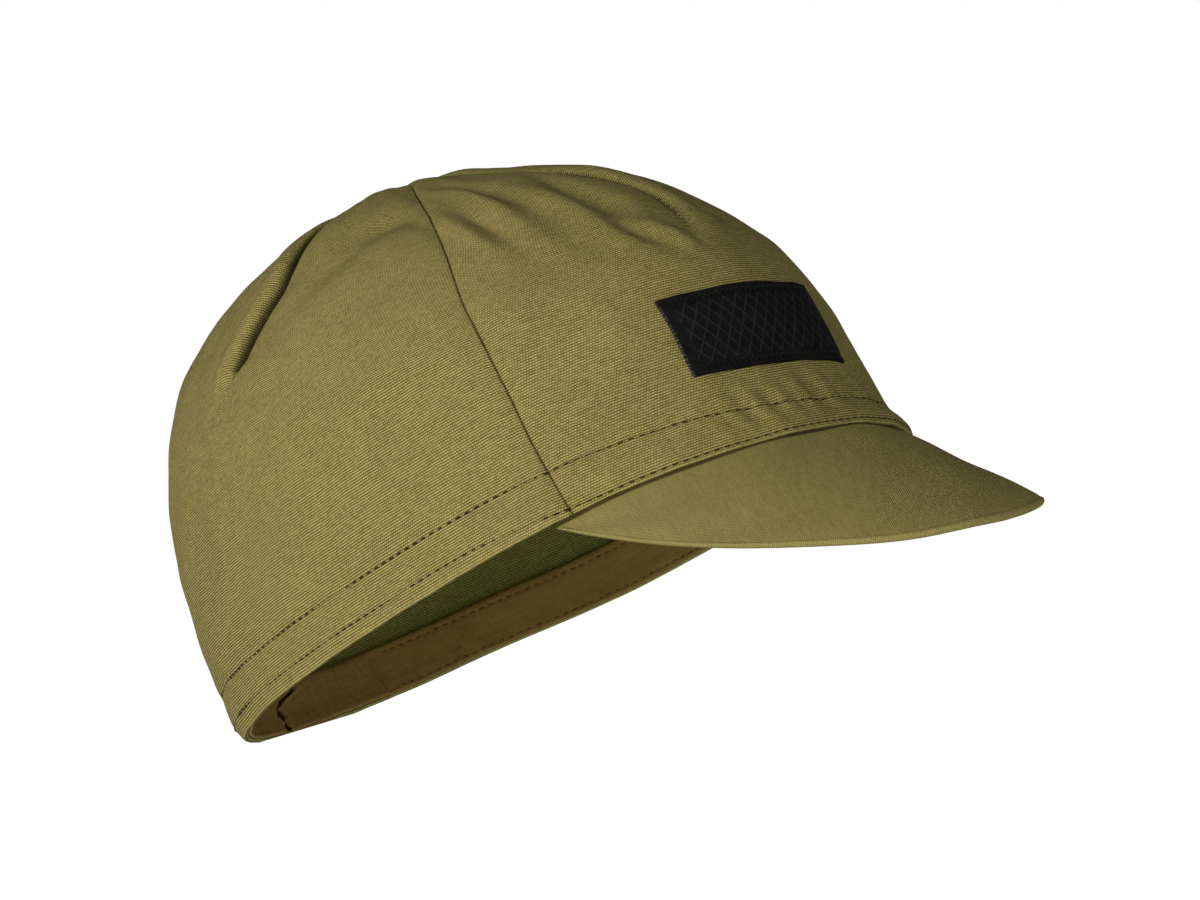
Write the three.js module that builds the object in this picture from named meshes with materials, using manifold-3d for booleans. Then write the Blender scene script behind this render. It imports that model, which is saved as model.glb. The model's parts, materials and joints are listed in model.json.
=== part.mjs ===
// A cotton cycling cap: a soft crown of a front and a back panel, a short stiff brim, a sweatband
// with an elastic at the back, and a plain woven label on the front.
// Millimetres. +Z is up, +Y is the back of the head and +X the wearer's left.
// The pieces are worked out in the rim's frame, whose origin is the middle of the head opening.
// The cap then stands as it does by itself, on the back of its rim and the front of its brim,
// with the origin at its bottom centre.

import * as THREE from 'three';
import { mergeVertices } from 'three/addons/utils/BufferGeometryUtils.js';
import Module from 'manifold-3d';

const wasm = await Module();
wasm.setup();

// Sizes of the crown
const FRONT_REACH = 98;
const BACK_REACH = 98.5;
const HALF_WIDTH = 76.5;
const CROWN_HEIGHT = 105.5;
const TOP_SETBACK = 2;
const TOP_PEAK = 0.5;
const TOP_PEAK_SPREAD = 7;
const TOP_FADE = 12;
const RIM_WAVE = 5;
const CLOTH = 1.4;
const HEM_THICKNESS = 2.4;
const HEM_FOLD = 1.6;
const HEM_STEP = 0.4;
const STITCH_HEIGHT = 12.5;
const STITCH_PINCH = 0.5;
const HEM_PUFF = 1;

// Sizes of the seams, darts and gathers
const SEAM_DEPTH = 1.2;
const SEAM_WIDTH = 2.2;
const DART_RIDGE = 1.8;
const DART_WIDTH = 8;
const DART_CREASE = 1.0;
const DART_HOLLOW = 1.2;
const GATHER_DEPTH = 0.3;
const GATHER_PITCH = 13;

// Sizes of the brim
const BRIM_LENGTH = 52.5;
const BRIM_THICKNESS = 3;
const BRIM_END_LENGTH = 3;
const BRIM_SPREAD = 55;
const BRIM_DROOP = 49;
const BRIM_ROLL = 12.5;
const BRIM_LIFT = 5;

// Sizes of the band, the elastic and the label
const BAND_HEIGHT = 14;
const BAND_THICKNESS = 1.2;
const ELASTIC_THICKNESS = 1.8;
const ELASTIC_SPREAD = 16;
const ELASTIC_RIB = 0.7;
const LABEL_WIDTH = 51;
const LABEL_HEIGHT = 22;
const LABEL_THICKNESS = 1;
const LABEL_MIDDLE = 26.8;
const LABEL_SHIFT = -4.5;
const LABEL_TURN = -3.8;

// The small gap between sewn pieces, and how deep the soft cloth is pressed where it rests
const GAP = 0.3;
const PRESS = 1;

// The oval's power: under 1 the rim is a little squarer than an ellipse, and the top is an ellipse
const OVAL_POWER = 0.93;
const DEGREE = Math.PI / 180;

// Level curves of the crown, from the rim at level 0 to the top at level 1. The rise is a share of
// CROWN_HEIGHT, and the others are shares of FRONT_REACH, BACK_REACH and HALF_WIDTH.
const SECTIONS = [
  { level: 0.0, rise: 0.0, front: 1.0, back: 1.0, side: 1.0 },
  { level: 0.12, rise: 0.15, front: 0.97, back: 1.03, side: 1.0 },
  { level: 0.25, rise: 0.33, front: 0.95, back: 1.01, side: 0.98 },
  { level: 0.38, rise: 0.5, front: 0.89, back: 0.97, side: 0.935 },
  { level: 0.52, rise: 0.67, front: 0.76, back: 0.9, side: 0.85 },
  { level: 0.66, rise: 0.82, front: 0.575, back: 0.765, side: 0.73 },
  { level: 0.8, rise: 0.925, front: 0.355, back: 0.54, side: 0.545 },
  { level: 0.9, rise: 0.98, front: 0.2, back: 0.3, side: 0.305 },
  { level: 1.0, rise: 1.0, front: 0.0, back: 0.0, side: 0.0 },
];

// Height of the rim's edge round the head, from the back over the wearer's right to the front at 0
// and the left, as a share of RIM_WAVE. The cloth is soft, and its left front hangs lower. The
// first and the last row repeat a place past the back.
const RIM_EDGE = [
  { angle: -220, height: 0.3 },
  { angle: -180, height: -0.1 },
  { angle: -145, height: -0.4 },
  { angle: -90, height: -0.3 },
  { angle: -45, height: -0.2 },
  { angle: 0, height: -1.0 },
  { angle: 35, height: -1.9 },
  { angle: 60, height: -1.4 },
  { angle: 90, height: -0.1 },
  { angle: 140, height: 0.3 },
  { angle: 180, height: -0.1 },
  { angle: 215, height: -0.4 },
];

// Where the side seams and the side darts run, in degrees from the front
const SEAM_PATH = [
  { level: 0.0, angle: 52 },
  { level: 0.4, angle: 51 },
  { level: 0.56, angle: 46 },
  { level: 0.7, angle: 39 },
  { level: 0.88, angle: 27 },
  { level: 1.0, angle: 24 },
];
const SIDE_DART_PATH = [
  { level: 0.0, angle: 112 },
  { level: 0.4, angle: 106 },
  { level: 0.56, angle: 101 },
  { level: 0.7, angle: 90 },
  { level: 0.85, angle: 85 },
  { level: 1.0, angle: 88 },
];

// How strong the darts are along their way up
const FRONT_DART_STRENGTH = [
  { level: 0.0, strength: 0 },
  { level: 0.36, strength: 0 },
  { level: 0.5, strength: 0.7 },
  { level: 0.62, strength: 1 },
  { level: 0.88, strength: 0.5 },
  { level: 1.0, strength: 0 },
];
const SIDE_DART_STRENGTH = [
  { level: 0.0, strength: 0 },
  { level: 0.54, strength: 0 },
  { level: 0.6, strength: 0.8 },
  { level: 0.72, strength: 1 },
  { level: 0.88, strength: 0.6 },
  { level: 1.0, strength: 0 },
];

// Soft dents and folds: the place of the middle, the turn of the long way from level in degrees,
// and the half length, half width and depth as shares of CROWN_HEIGHT. A negative depth is a dent.
const FOLDS = [
  { angle: -10, level: 0.33, turn: 0, length: 0.4, width: 0.2, depth: 0.02 },
  { angle: -60, level: 0.72, turn: 10, length: 0.28, width: 0.12, depth: -0.024 },
  { angle: -27, level: 0.57, turn: 95, length: 0.16, width: 0.05, depth: -0.012 },
  { angle: -12, level: 0.52, turn: 80, length: 0.12, width: 0.04, depth: -0.01 },
  { angle: -36, level: 0.3, turn: 70, length: 0.2, width: 0.08, depth: -0.01 },
  { angle: 60, level: 0.7, turn: -15, length: 0.26, width: 0.13, depth: -0.022 },
  { angle: 25, level: 0.55, turn: 85, length: 0.17, width: 0.06, depth: -0.012 },
  { angle: 150, level: 0.5, turn: 60, length: 0.25, width: 0.09, depth: -0.014 },
  { angle: -155, level: 0.36, turn: -65, length: 0.28, width: 0.08, depth: -0.014 },
];

// The smooth value of a table's column between its rows
function sample(table, key, value, at) {
  const last = table.length - 1;
  let row = 0;
  while (row < last - 1 && at > table[row + 1][key]) row += 1;
  const slope = (k) => {
    const low = table[Math.max(k - 1, 0)];
    const high = table[Math.min(k + 1, last)];
    return (high[value] - low[value]) / (high[key] - low[key]);
  };
  const from = table[row];
  const to = table[row + 1];
  const span = to[key] - from[key];
  const u = (at - from[key]) / span;
  const u2 = u * u;
  const u3 = u2 * u;
  return (
    (2 * u3 - 3 * u2 + 1) * from[value] +
    (u3 - 2 * u2 + u) * span * slope(row) +
    (3 * u2 - 2 * u3) * to[value] +
    (u3 - u2) * span * slope(row + 1)
  );
}

// The straight-line value of a table's column between its rows
function sampleStraight(table, key, value, at) {
  let row = 0;
  while (row < table.length - 2 && at > table[row + 1][key]) row += 1;
  const from = table[row];
  const to = table[row + 1];
  const u = (at - from[key]) / (to[key] - from[key]);
  return from[value] + u * (to[value] - from[value]);
}

const signedPower = (value, power) => Math.sign(value) * Math.abs(value) ** power;
const bell = (x) => Math.exp(-x * x);

// Angles run from -180 to 180 degrees, with 0 at the front and +90 at the wearer's left
function wrapAngle(angle) {
  return angle - 360 * Math.round(angle / 360);
}

function rimHeight(angle) {
  return RIM_WAVE * sample(RIM_EDGE, 'angle', 'height', wrapAngle(angle));
}

// The smooth form of the crown, without its seams and folds
function crownForm(angle, level) {
  const rise = sample(SECTIONS, 'level', 'rise', level);
  const power = OVAL_POWER * (1 - level) + level;
  const across = signedPower(Math.sin(angle * DEGREE), power);
  const along = signedPower(Math.cos(angle * DEGREE), power);
  const front = FRONT_REACH * sample(SECTIONS, 'level', 'front', level);
  const back = BACK_REACH * sample(SECTIONS, 'level', 'back', level);
  const side = HALF_WIDTH * sample(SECTIONS, 'level', 'side', level);
  return new THREE.Vector3(
    side * across,
    -(along > 0 ? front : back) * along + TOP_SETBACK * rise * rise,
    rise * CROWN_HEIGHT + rimHeight(angle) * (1 - Math.min(rise, 1)) ** 1.5,
  );
}

// The direction that the smooth form faces
function crownNormal(angle, level) {
  if (level > 0.995) return new THREE.Vector3(0, 0, 1);
  const turn = 1;
  const climb = 0.004;
  const low = Math.max(level - climb, 0);
  const round = crownForm(angle + turn, level).sub(crownForm(angle - turn, level));
  const up = crownForm(angle, level + climb).sub(crownForm(angle, low));
  return round.cross(up).normalize();
}

// Millimetres along the rim's direction from an angle to another, at a level
function distanceRound(angle, other, level) {
  const place = crownForm(other, level);
  const reach = Math.hypot(place.x, place.y - TOP_SETBACK);
  return wrapAngle(angle - other) * DEGREE * reach;
}

// Level of a height above the rim, near the rim, where the wall stands almost upright
const LEVEL_PER_MM = SECTIONS[1].level / (SECTIONS[1].rise * CROWN_HEIGHT);

// About how far the cloth runs from the rim to the top: an arc, a bit longer than its chord
const CROWN_WAY = Math.hypot(CROWN_HEIGHT, (FRONT_REACH + BACK_REACH) / 2) * 1.15;

function seamRelief(distance) {
  return -SEAM_DEPTH * Math.exp(-Math.abs(distance) / SEAM_WIDTH);
}

// A dart's cloth is laid over to one side: a ridge there, a crease, and a soft hollow before it
function dartRelief(distance) {
  const crease = -DART_CREASE * Math.exp(-Math.abs(distance) / SEAM_WIDTH);
  if (distance < 0) return crease - DART_HOLLOW * bell(distance / DART_WIDTH);
  const across = Math.min(distance / DART_WIDTH, 1);
  return crease * (1 - across) + DART_RIDGE * Math.sin(Math.PI * across ** 0.6);
}

function foldRelief(angle, level, fold) {
  const round = distanceRound(angle, fold.angle, fold.level);
  const up = (level - fold.level) * CROWN_WAY;
  const cos = Math.cos(fold.turn * DEGREE);
  const sin = Math.sin(fold.turn * DEGREE);
  const lengthwise = (round * cos + up * sin) / (fold.length * CROWN_HEIGHT);
  const crosswise = (up * cos - round * sin) / (fold.width * CROWN_HEIGHT);
  return fold.depth * CROWN_HEIGHT * bell(lengthwise) * bell(crosswise);
}

// The elastic draws the back of the hem into gathers that die out upwards
function gatherRelief(angle, height) {
  const round = distanceRound(angle, 180, 0);
  const spread = BACK_REACH * ELASTIC_SPREAD * DEGREE;
  const wave = Math.cos((2 * Math.PI * round) / GATHER_PITCH);
  return GATHER_DEPTH * wave * bell(round / spread) * bell(height / (2 * STITCH_HEIGHT));
}

// How far the cloth stands out from the smooth form
function relief(angle, level) {
  const belowTop = (1 - level) * CROWN_WAY;
  const near = Math.min(belowTop / TOP_FADE, 1);
  const seam = sample(SEAM_PATH, 'level', 'angle', level);
  const dart = sample(SIDE_DART_PATH, 'level', 'angle', level);
  const height = level / LEVEL_PER_MM;
  const turned = Math.abs(wrapAngle(angle));
  let out = TOP_PEAK * bell(belowTop / TOP_PEAK_SPREAD);
  out += near * seamRelief(distanceRound(turned, seam, level));
  const frontStrength = sampleStraight(FRONT_DART_STRENGTH, 'level', 'strength', level);
  out += frontStrength * dartRelief(distanceRound(angle, 0, level));
  const sideStrength = sampleStraight(SIDE_DART_STRENGTH, 'level', 'strength', level);
  out += sideStrength * dartRelief(distanceRound(turned, dart, level));
  for (const fold of FOLDS) out += near * foldRelief(angle, level, fold);
  out -= STITCH_PINCH * bell((height - STITCH_HEIGHT) / SEAM_WIDTH);
  out += HEM_PUFF * bell((height - STITCH_HEIGHT / 3) / (STITCH_HEIGHT / 3));
  out += gatherRelief(angle, height);
  return out;
}

// A point of the crown's cloth, at a depth under its outer face
function crownAt(angle, level, depth) {
  const out = relief(angle, level) - depth;
  return crownForm(angle, level).addScaledVector(crownNormal(angle, level), out);
}

// A closed sheet between an outer face, side 0, and an inner face, side 1. Columns run round the
// cap from the wearer's right over the front to the left, and rows run up.
function sheetGeometry(columns, rows, pointAt) {
  const corner = (side, i, j) => (side * (columns + 1) + i) * (rows + 1) + j;
  const positions = [];
  const index = [];
  for (const side of [0, 1]) {
    for (let i = 0; i <= columns; i += 1) {
      for (let j = 0; j <= rows; j += 1) {
        positions.push(...pointAt(i, j, side).toArray());
      }
    }
  }
  const quad = (a, b, c, d) => index.push(a, b, c, a, c, d);
  for (let i = 0; i < columns; i += 1) {
    for (let j = 0; j < rows; j += 1) {
      quad(corner(0, i, j), corner(0, i + 1, j), corner(0, i + 1, j + 1), corner(0, i, j + 1));
      quad(corner(1, i, j), corner(1, i, j + 1), corner(1, i + 1, j + 1), corner(1, i + 1, j));
    }
    quad(corner(1, i, 0), corner(1, i + 1, 0), corner(0, i + 1, 0), corner(0, i, 0));
    quad(corner(0, i, rows), corner(0, i + 1, rows), corner(1, i + 1, rows), corner(1, i, rows));
  }
  for (let j = 0; j < rows; j += 1) {
    quad(corner(0, 0, j), corner(0, 0, j + 1), corner(1, 0, j + 1), corner(1, 0, j));
    quad(
      corner(1, columns, j),
      corner(1, columns, j + 1),
      corner(0, columns, j + 1),
      corner(0, columns, j),
    );
  }
  const geometry = new THREE.BufferGeometry();
  geometry.setAttribute('position', new THREE.Float32BufferAttribute(positions, 3));
  geometry.setIndex(index);
  return dropFlatTriangles(mergeVertices(geometry, 1e-4));
}

// Where a sheet's corners run together in one point, its flat triangles go
function dropFlatTriangles(geometry) {
  const old = geometry.index.array;
  const kept = [];
  for (let k = 0; k < old.length; k += 3) {
    const [a, b, c] = [old[k], old[k + 1], old[k + 2]];
    if (a !== b && b !== c && c !== a) kept.push(a, b, c);
  }
  geometry.setIndex(kept);
  return geometry;
}

// Lines that run up the crown, from the middle of the back over the wearer's right to the front
// and round the left, as an angle at each level, and the number of columns after each
const seamAngle = (level) => sample(SEAM_PATH, 'level', 'angle', level);
const dartAngle = (level) => sample(SIDE_DART_PATH, 'level', 'angle', level);
const LINES = [
  { name: 'back', angle: () => -180, columns: 10, crowding: 0 },
  { name: 'right elastic end', angle: () => ELASTIC_SPREAD - 180, columns: 10, crowding: 0.4 },
  { name: 'right dart', angle: (level) => -dartAngle(level), columns: 10, crowding: 0.8 },
  { name: 'right seam', angle: (level) => -seamAngle(level), columns: 10, crowding: 0.8 },
  { name: 'front', angle: () => 0, columns: 10, crowding: 0.8 },
  { name: 'left seam', angle: seamAngle, columns: 10, crowding: 0.8 },
  { name: 'left dart', angle: dartAngle, columns: 10, crowding: 0.4 },
  { name: 'left elastic end', angle: () => 180 - ELASTIC_SPREAD, columns: 10, crowding: 0 },
  { name: 'back again', angle: () => 180, columns: 0, crowding: 0 },
];

// The columns between two lines, in order round the cap, each an angle by level. Crowding brings
// them closer together beside the lines. A way past the back goes on over 180 degrees.
function columnsBetween(first, last) {
  const sectors = LINES.length - 1;
  const columns = [];
  const end = last > first ? last : last + sectors;
  for (let k = first; k < end; k += 1) {
    const lap = 360 * Math.floor(k / sectors);
    const from = LINES[k % sectors];
    const to = LINES[(k % sectors) + 1];
    for (let i = k === first ? 0 : 1; i <= from.columns; i += 1) {
      const even = i / from.columns;
      const share = even - (from.crowding * Math.sin(2 * Math.PI * even)) / (2 * Math.PI);
      columns.push((level) => lap + from.angle(level) + share * (to.angle(level) - from.angle(level)));
    }
  }
  return columns;
}

const lineIndex = (name) => LINES.findIndex((line) => line.name === name);

// A strip of cloth between two of the crown's lines. Its levels are its rows, and its two ends stay
// half a gap clear of the lines. Depth gives how deep a face lies at a row and a column.
function stripGeometry(from, to, levels, depthAt) {
  const columns = columnsBetween(lineIndex(from), lineIndex(to));
  const last = columns.length - 1;
  return sheetGeometry(last, levels.length - 1, (i, j, side) => {
    const level = levels[j];
    const angle = columns[i](level);
    const point = crownAt(angle, level, depthAt(side, i, j));
    if (level === 1) {
      const half = Math.abs(wrapAngle(columns[0](1))) * DEGREE;
      const shift = GAP / 2 / Math.sin(half);
      point.y += wrapAngle(columns[0](1)) < 0 ? -shift : shift;
    } else if (i === 0 || i === last) {
      const round = crownAt(angle + 1, level, 0).sub(crownAt(angle - 1, level, 0)).normalize();
      point.addScaledVector(round, i === 0 ? GAP / 2 : -GAP / 2);
    }
    return point;
  });
}

// Heights above the rim: the folded hem's top, and the foot and the top of band and elastic
const FOLD_TOP = HEM_FOLD + HEM_STEP;
const BAND_FOOT = FOLD_TOP + GAP;
const BAND_TOP = BAND_FOOT + BAND_HEIGHT;

// The rows of the crown: close together at the hem, and then evenly spread up to the top
const HEM_ROWS = [0, HEM_FOLD, FOLD_TOP, (FOLD_TOP + STITCH_HEIGHT) / 2, STITCH_HEIGHT, BAND_TOP];
const HEM_LEVELS = HEM_ROWS.map((height) => height * LEVEL_PER_MM);
const UPPER_ROWS = 12;
const CROWN_LEVELS = [...HEM_LEVELS];
for (let k = 1; k <= UPPER_ROWS; k += 1) {
  CROWN_LEVELS.push(HEM_LEVELS.at(-1) + ((1 - HEM_LEVELS.at(-1)) * k) / UPPER_ROWS);
}

// The cloth is folded in round the rim, which makes the hem thicker than the wall above it
function wallDepth(side, i, j) {
  return side * (HEM_ROWS[j] <= HEM_FOLD ? HEM_THICKNESS : CLOTH);
}

function frontPanel() {
  return stripGeometry('right seam', 'left seam', CROWN_LEVELS, wallDepth);
}

function backPanel() {
  return stripGeometry('left seam', 'right seam', CROWN_LEVELS, wallDepth);
}

// The brim's own length and its slope below level, at an angle round the head. Its left half is
// lifted a little.
function brimLength(angle) {
  const share = Math.abs(angle) / BRIM_SPREAD;
  return BRIM_END_LENGTH + (BRIM_LENGTH - BRIM_END_LENGTH) * (1 - share ** 2.3);
}

function brimSlope(angle) {
  const share = angle / BRIM_SPREAD;
  return (BRIM_DROOP + BRIM_ROLL * share ** 2 - BRIM_LIFT * Math.max(share, 0)) * DEGREE;
}

// The middle of the brim's sheet: straight lines forward and down from under the rim
function brimMiddle(angle, way) {
  const root = crownAt(angle, 0, CLOTH / 2);
  const slope = brimSlope(angle);
  const length = way * brimLength(angle);
  const clear = BRIM_THICKNESS / 2;
  return new THREE.Vector3(
    root.x,
    root.y - length * Math.cos(slope) + clear * Math.sin(slope),
    root.z - GAP - length * Math.sin(slope) - clear * Math.cos(slope),
  );
}

// The brim is a thick sheet with a rounded front edge. Its rows run forward, so side 0 is below.
function brimGeometry() {
  const columns = 30;
  const ways = [0, 0.25, 0.5, 0.75, 0.92];
  const edges = [0, 0.5, 0.8, 1];
  const rows = ways.length + edges.length - 1;
  return sheetGeometry(columns, rows, (i, j, side) => {
    const angle = BRIM_SPREAD * ((2 * i) / columns - 1);
    const edge = Math.min(BRIM_THICKNESS / 2 / brimLength(angle), 0.3);
    const rounding = j < ways.length ? 0 : edges[j - ways.length];
    const start = 1 - edge;
    const way = j < ways.length ? ways[j] * start : start + rounding * edge;
    const half = (BRIM_THICKNESS / 2) * Math.sqrt(Math.max(1 - rounding ** 2, 0.04));
    const turn = 0.5;
    const round = brimMiddle(angle + turn, way).sub(brimMiddle(angle - turn, way));
    const out = brimMiddle(angle, 1).sub(brimMiddle(angle, 0));
    const up = out.cross(round).normalize();
    return brimMiddle(angle, way).addScaledVector(up, side === 0 ? -half : half);
  });
}

// The sweatband lies inside the wall, above the cloth folded in round the rim, and stops at the
// elastic
function sweatbandGeometry() {
  const heights = [BAND_FOOT, ...HEM_ROWS.slice(3)];
  const levels = heights.map((height) => height * LEVEL_PER_MM);
  const depthAt = (side) => CLOTH + GAP + side * BAND_THICKNESS;
  return stripGeometry('right elastic end', 'left elastic end', levels, depthAt);
}

// The elastic bridges the back between the band's ends, with ribs of drawn-up cloth on its inner
// face
function elasticGeometry() {
  const heights = [BAND_FOOT, ...HEM_ROWS.slice(3)];
  const levels = heights.map((height) => height * LEVEL_PER_MM);
  const depthAt = (side, i) => CLOTH + GAP + side * (ELASTIC_THICKNESS + (i % 2) * ELASTIC_RIB);
  return stripGeometry('left elastic end', 'right elastic end', levels, depthAt);
}

// The angle at which the front of the crown stands a distance to the side of its middle
function angleAcross(distance, level) {
  const half = HALF_WIDTH * sample(SECTIONS, 'level', 'side', level);
  const power = OVAL_POWER * (1 - level) + level;
  return Math.asin(signedPower(distance / half, 1 / power)) / DEGREE;
}

// The label lies on the front panel, a little turned, and bends with it
function labelGeometry() {
  const columns = 14;
  const rows = 6;
  const middle = LABEL_MIDDLE * LEVEL_PER_MM;
  const rise = crownForm(0, middle + 0.02).sub(crownForm(0, middle - 0.02)).length() / 0.04;
  const bend = crownForm(angleAcross(LABEL_WIDTH / 2, middle), middle);
  const flat = Math.hypot(bend.x, bend.y - crownForm(0, middle).y);
  const narrowing = bend.x / flat;
  const turn = LABEL_TURN * DEGREE;
  return sheetGeometry(columns, rows, (i, j, side) => {
    const across = (i / columns - 0.5) * LABEL_WIDTH;
    const up = (j / rows - 0.5) * LABEL_HEIGHT;
    const aside = across * Math.cos(turn) - up * Math.sin(turn);
    const level = middle + (across * Math.sin(turn) + up * Math.cos(turn)) / rise;
    const angle = angleAcross(LABEL_SHIFT + narrowing * aside, level);
    const depth = side === 0 ? -GAP - LABEL_THICKNESS : -GAP;
    return crownAt(angle, level, depth);
  });
}

// How the cap stands: the line under the back of the rim and the front of the brim is level
const backFoot = crownAt(180, 0, 0);
const brimFoot = brimMiddle(0, 1);
const brimFootDrop = (BRIM_THICKNESS / 2) * Math.cos(brimSlope(0));
const standingTilt = Math.atan2(backFoot.z - (brimFoot.z - brimFootDrop), backFoot.y - brimFoot.y);

const setDown = new THREE.Group();
setDown.name = 'set_down';
setDown.rotation.x = -standingTilt;
setDown.updateMatrix();
const floorHeight = backFoot.clone().applyMatrix4(setDown.matrix).z + PRESS;

function toSolid(geometry) {
  const plain = geometry.clone();
  plain.deleteAttribute('normal');
  plain.deleteAttribute('uv');
  const merged = mergeVertices(plain, 1e-5);
  return new wasm.Manifold(
    new wasm.Mesh({
      numProp: 3,
      vertProperties: new Float32Array(merged.attributes.position.array),
      triVerts: new Uint32Array(merged.index.array),
    }),
  );
}

// Cloth that would reach below the surface is pressed flat on it
function pressFlat(geometry) {
  const size = 2 * (FRONT_REACH + BACK_REACH + BRIM_LENGTH);
  const ground = new THREE.BoxGeometry(size, size, size);
  ground.translate(0, 0, floorHeight - size / 2);
  ground.applyMatrix4(setDown.matrix.clone().invert());
  const mesh = toSolid(geometry).subtract(toSolid(ground)).getMesh();
  const pressed = new THREE.BufferGeometry();
  pressed.setAttribute('position', new THREE.BufferAttribute(mesh.vertProperties, 3));
  pressed.setIndex(new THREE.BufferAttribute(mesh.triVerts, 1));
  return pressed;
}

function addPiece(name, geometry, color, roughness) {
  geometry.computeVertexNormals();
  const material = new THREE.MeshStandardMaterial({ color, roughness, metalness: 0 });
  const mesh = new THREE.Mesh(geometry, material);
  mesh.name = name;
  setDown.add(mesh);
}

addPiece('crown_front', frontPanel(), 0x8b804e, 0.9);
addPiece('crown_back', pressFlat(backPanel()), 0x897e4c, 0.9);
addPiece('brim', pressFlat(brimGeometry()), 0x7d7344, 0.9);
addPiece('sweatband', sweatbandGeometry(), 0x4a3a19, 0.95);
addPiece('elastic_band', elasticGeometry(), 0x4f4420, 0.95);
addPiece('label', labelGeometry(), 0x171716, 0.6);

// The origin is the bottom centre of the standing cap
const cap = new THREE.Group();
cap.name = 'cycling_cap';
cap.add(setDown);
cap.updateMatrixWorld(true);
const bounds = new THREE.Box3().setFromObject(cap, true);
const middle = bounds.getCenter(new THREE.Vector3());
setDown.position.set(-middle.x, -middle.y, -bounds.min.z);
cap.updateMatrixWorld(true);

export default cap;
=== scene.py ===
"""Cycling cap: the cloth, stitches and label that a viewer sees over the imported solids.

Metres. +Z is up, +Y is the back of the head and +X the wearer's left. The crown is worked out in
the rim's frame, with the middle of the head opening as its origin. The cap then stands as the
record's mount for the head opening says.
"""

import json

import bmesh
import bpy
import numpy as np
from mathutils import Matrix, Vector

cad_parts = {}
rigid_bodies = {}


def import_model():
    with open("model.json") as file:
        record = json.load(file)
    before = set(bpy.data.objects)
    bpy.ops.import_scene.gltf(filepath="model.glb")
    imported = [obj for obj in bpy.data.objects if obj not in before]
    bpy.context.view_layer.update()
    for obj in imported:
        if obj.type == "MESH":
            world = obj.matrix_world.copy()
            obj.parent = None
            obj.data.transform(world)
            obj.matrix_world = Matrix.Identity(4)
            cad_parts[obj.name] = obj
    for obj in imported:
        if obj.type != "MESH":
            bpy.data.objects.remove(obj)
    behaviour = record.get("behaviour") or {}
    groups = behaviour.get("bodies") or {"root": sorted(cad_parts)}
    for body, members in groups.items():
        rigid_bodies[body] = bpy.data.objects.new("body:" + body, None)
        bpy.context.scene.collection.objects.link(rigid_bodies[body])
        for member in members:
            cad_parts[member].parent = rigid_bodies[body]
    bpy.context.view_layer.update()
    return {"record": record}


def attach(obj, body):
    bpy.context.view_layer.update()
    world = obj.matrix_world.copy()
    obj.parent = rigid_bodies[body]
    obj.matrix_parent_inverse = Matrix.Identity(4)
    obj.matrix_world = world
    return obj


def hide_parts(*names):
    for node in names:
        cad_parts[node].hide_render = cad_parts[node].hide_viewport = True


bl_info = {
    "name": "Cycling Cap",
    "version": (1, 0, 0),
    "blender": (4, 5, 0),
    "location": "View3D > Sidebar > Cap",
    "description": "Builds the cloth, stitches and label of a cotton cycling cap",
    "category": "Object",
}

for startup in list(bpy.data.objects):
    bpy.data.objects.remove(startup)

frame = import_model()

MM = 0.001
BODY = "root"

# Vertices that lie closer than this are one, and edges that turn further stay sharp
SAME_PLACE = 0.001 * MM
SHARP_TURN = 60

# Sizes that the crown's form keeps beside the ones a user may change
TOP_SETBACK = 2 * MM
TOP_PEAK = 0.5 * MM
TOP_PEAK_SPREAD = 7 * MM
TOP_FADE = 12 * MM
RIM_WAVE = 5 * MM
OVAL_POWER = 0.93
HEM_TOP = 16.3 * MM
HEM_MIDDLE = 8 * MM
HEM_PUFF = 1 * MM
STITCH_PINCH = 0.3 * MM
SEAM_DEPTH = 0.9 * MM
SEAM_WIDTH = 2.2 * MM
SEAM_ROUND = 0.55 * MM
# Width of the painted shade along the seams and darts
CREASE_WIDTH = 0.55 * MM

# The darts: a ridge of laid-over cloth, the crease at its foot and the hollow before it. A lean
# under 1 sets the ridge's top nearer to the crease.
DART_RIDGE = 1.8 * MM
DART_WIDTH = 8 * MM
DART_LEAN = 0.65
FRONT_DART_WIDTH = 14 * MM
FRONT_DART_LEAN = 0.8
DART_CREASE = 1.0 * MM
DART_HOLLOW = 1.2 * MM
DART_CUT = 1.5 * MM
DART_CUT_WIDTH = 0.6 * MM

# Gathers of the hem at the back, and leaning tucks of the hem under the label
GATHER_DEPTH = 0.3 * MM
GATHER_PITCH = 13 * MM
PUCKER_DEPTH = 0.36 * MM
PUCKER_PITCH = 9.5 * MM
PUCKER_LEAN = 0.4
PUCKER_ANGLE = -9
PUCKER_SPREAD = 18
PUCKER_HEIGHT = 9 * MM
PUCKER_RISE = 5.5 * MM

# The stitching: dents between the stitches and their half widths on the two lines of the hem, the
# gap from a needle hole to the thread that shows, how far a thread bows out and how deep it lies
NEEDLE_DENT = 0.13 * MM
UPPER_DENT = 1.1 * MM
LOWER_DENT = 1.0 * MM
STITCH_GAP = 0.6 * MM
THREAD_BOW = 0.1 * MM
HEM_THREAD_DEPTH = 0.02 * MM
BAND_THREAD_RISE = 0.3 * MM

# Degrees from the front between which the lower line rises from the brim to its full height
LOWER_LINE_FROM = 44
LOWER_LINE_TO = 74

# The tapes inside the rim: their gap to the cloth and each other, their foot, the elastic's half
# turn and the sweatband's clearance to it in degrees, and the two lines of stitching
GAP = 0.3 * MM
BAND_FOOT = 0.5 * MM
ELASTIC_SPREAD = 16
BAND_END = 0.06
BAND_LINE = 2.2 * MM
BAND_SEAM = 1.1 * MM

# Slanting wrinkles of the sweatband: their places in degrees, depth, width, lean, height and rise
BAND_WRINKLES = (128, 146, 155)
WRINKLE_DEPTH = 0.35 * MM
WRINKLE_WIDTH = 1.6 * MM
WRINKLE_LEAN = 0.8
WRINKLE_HEIGHT = 5 * MM
WRINKLE_RISE = 4 * MM

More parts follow.
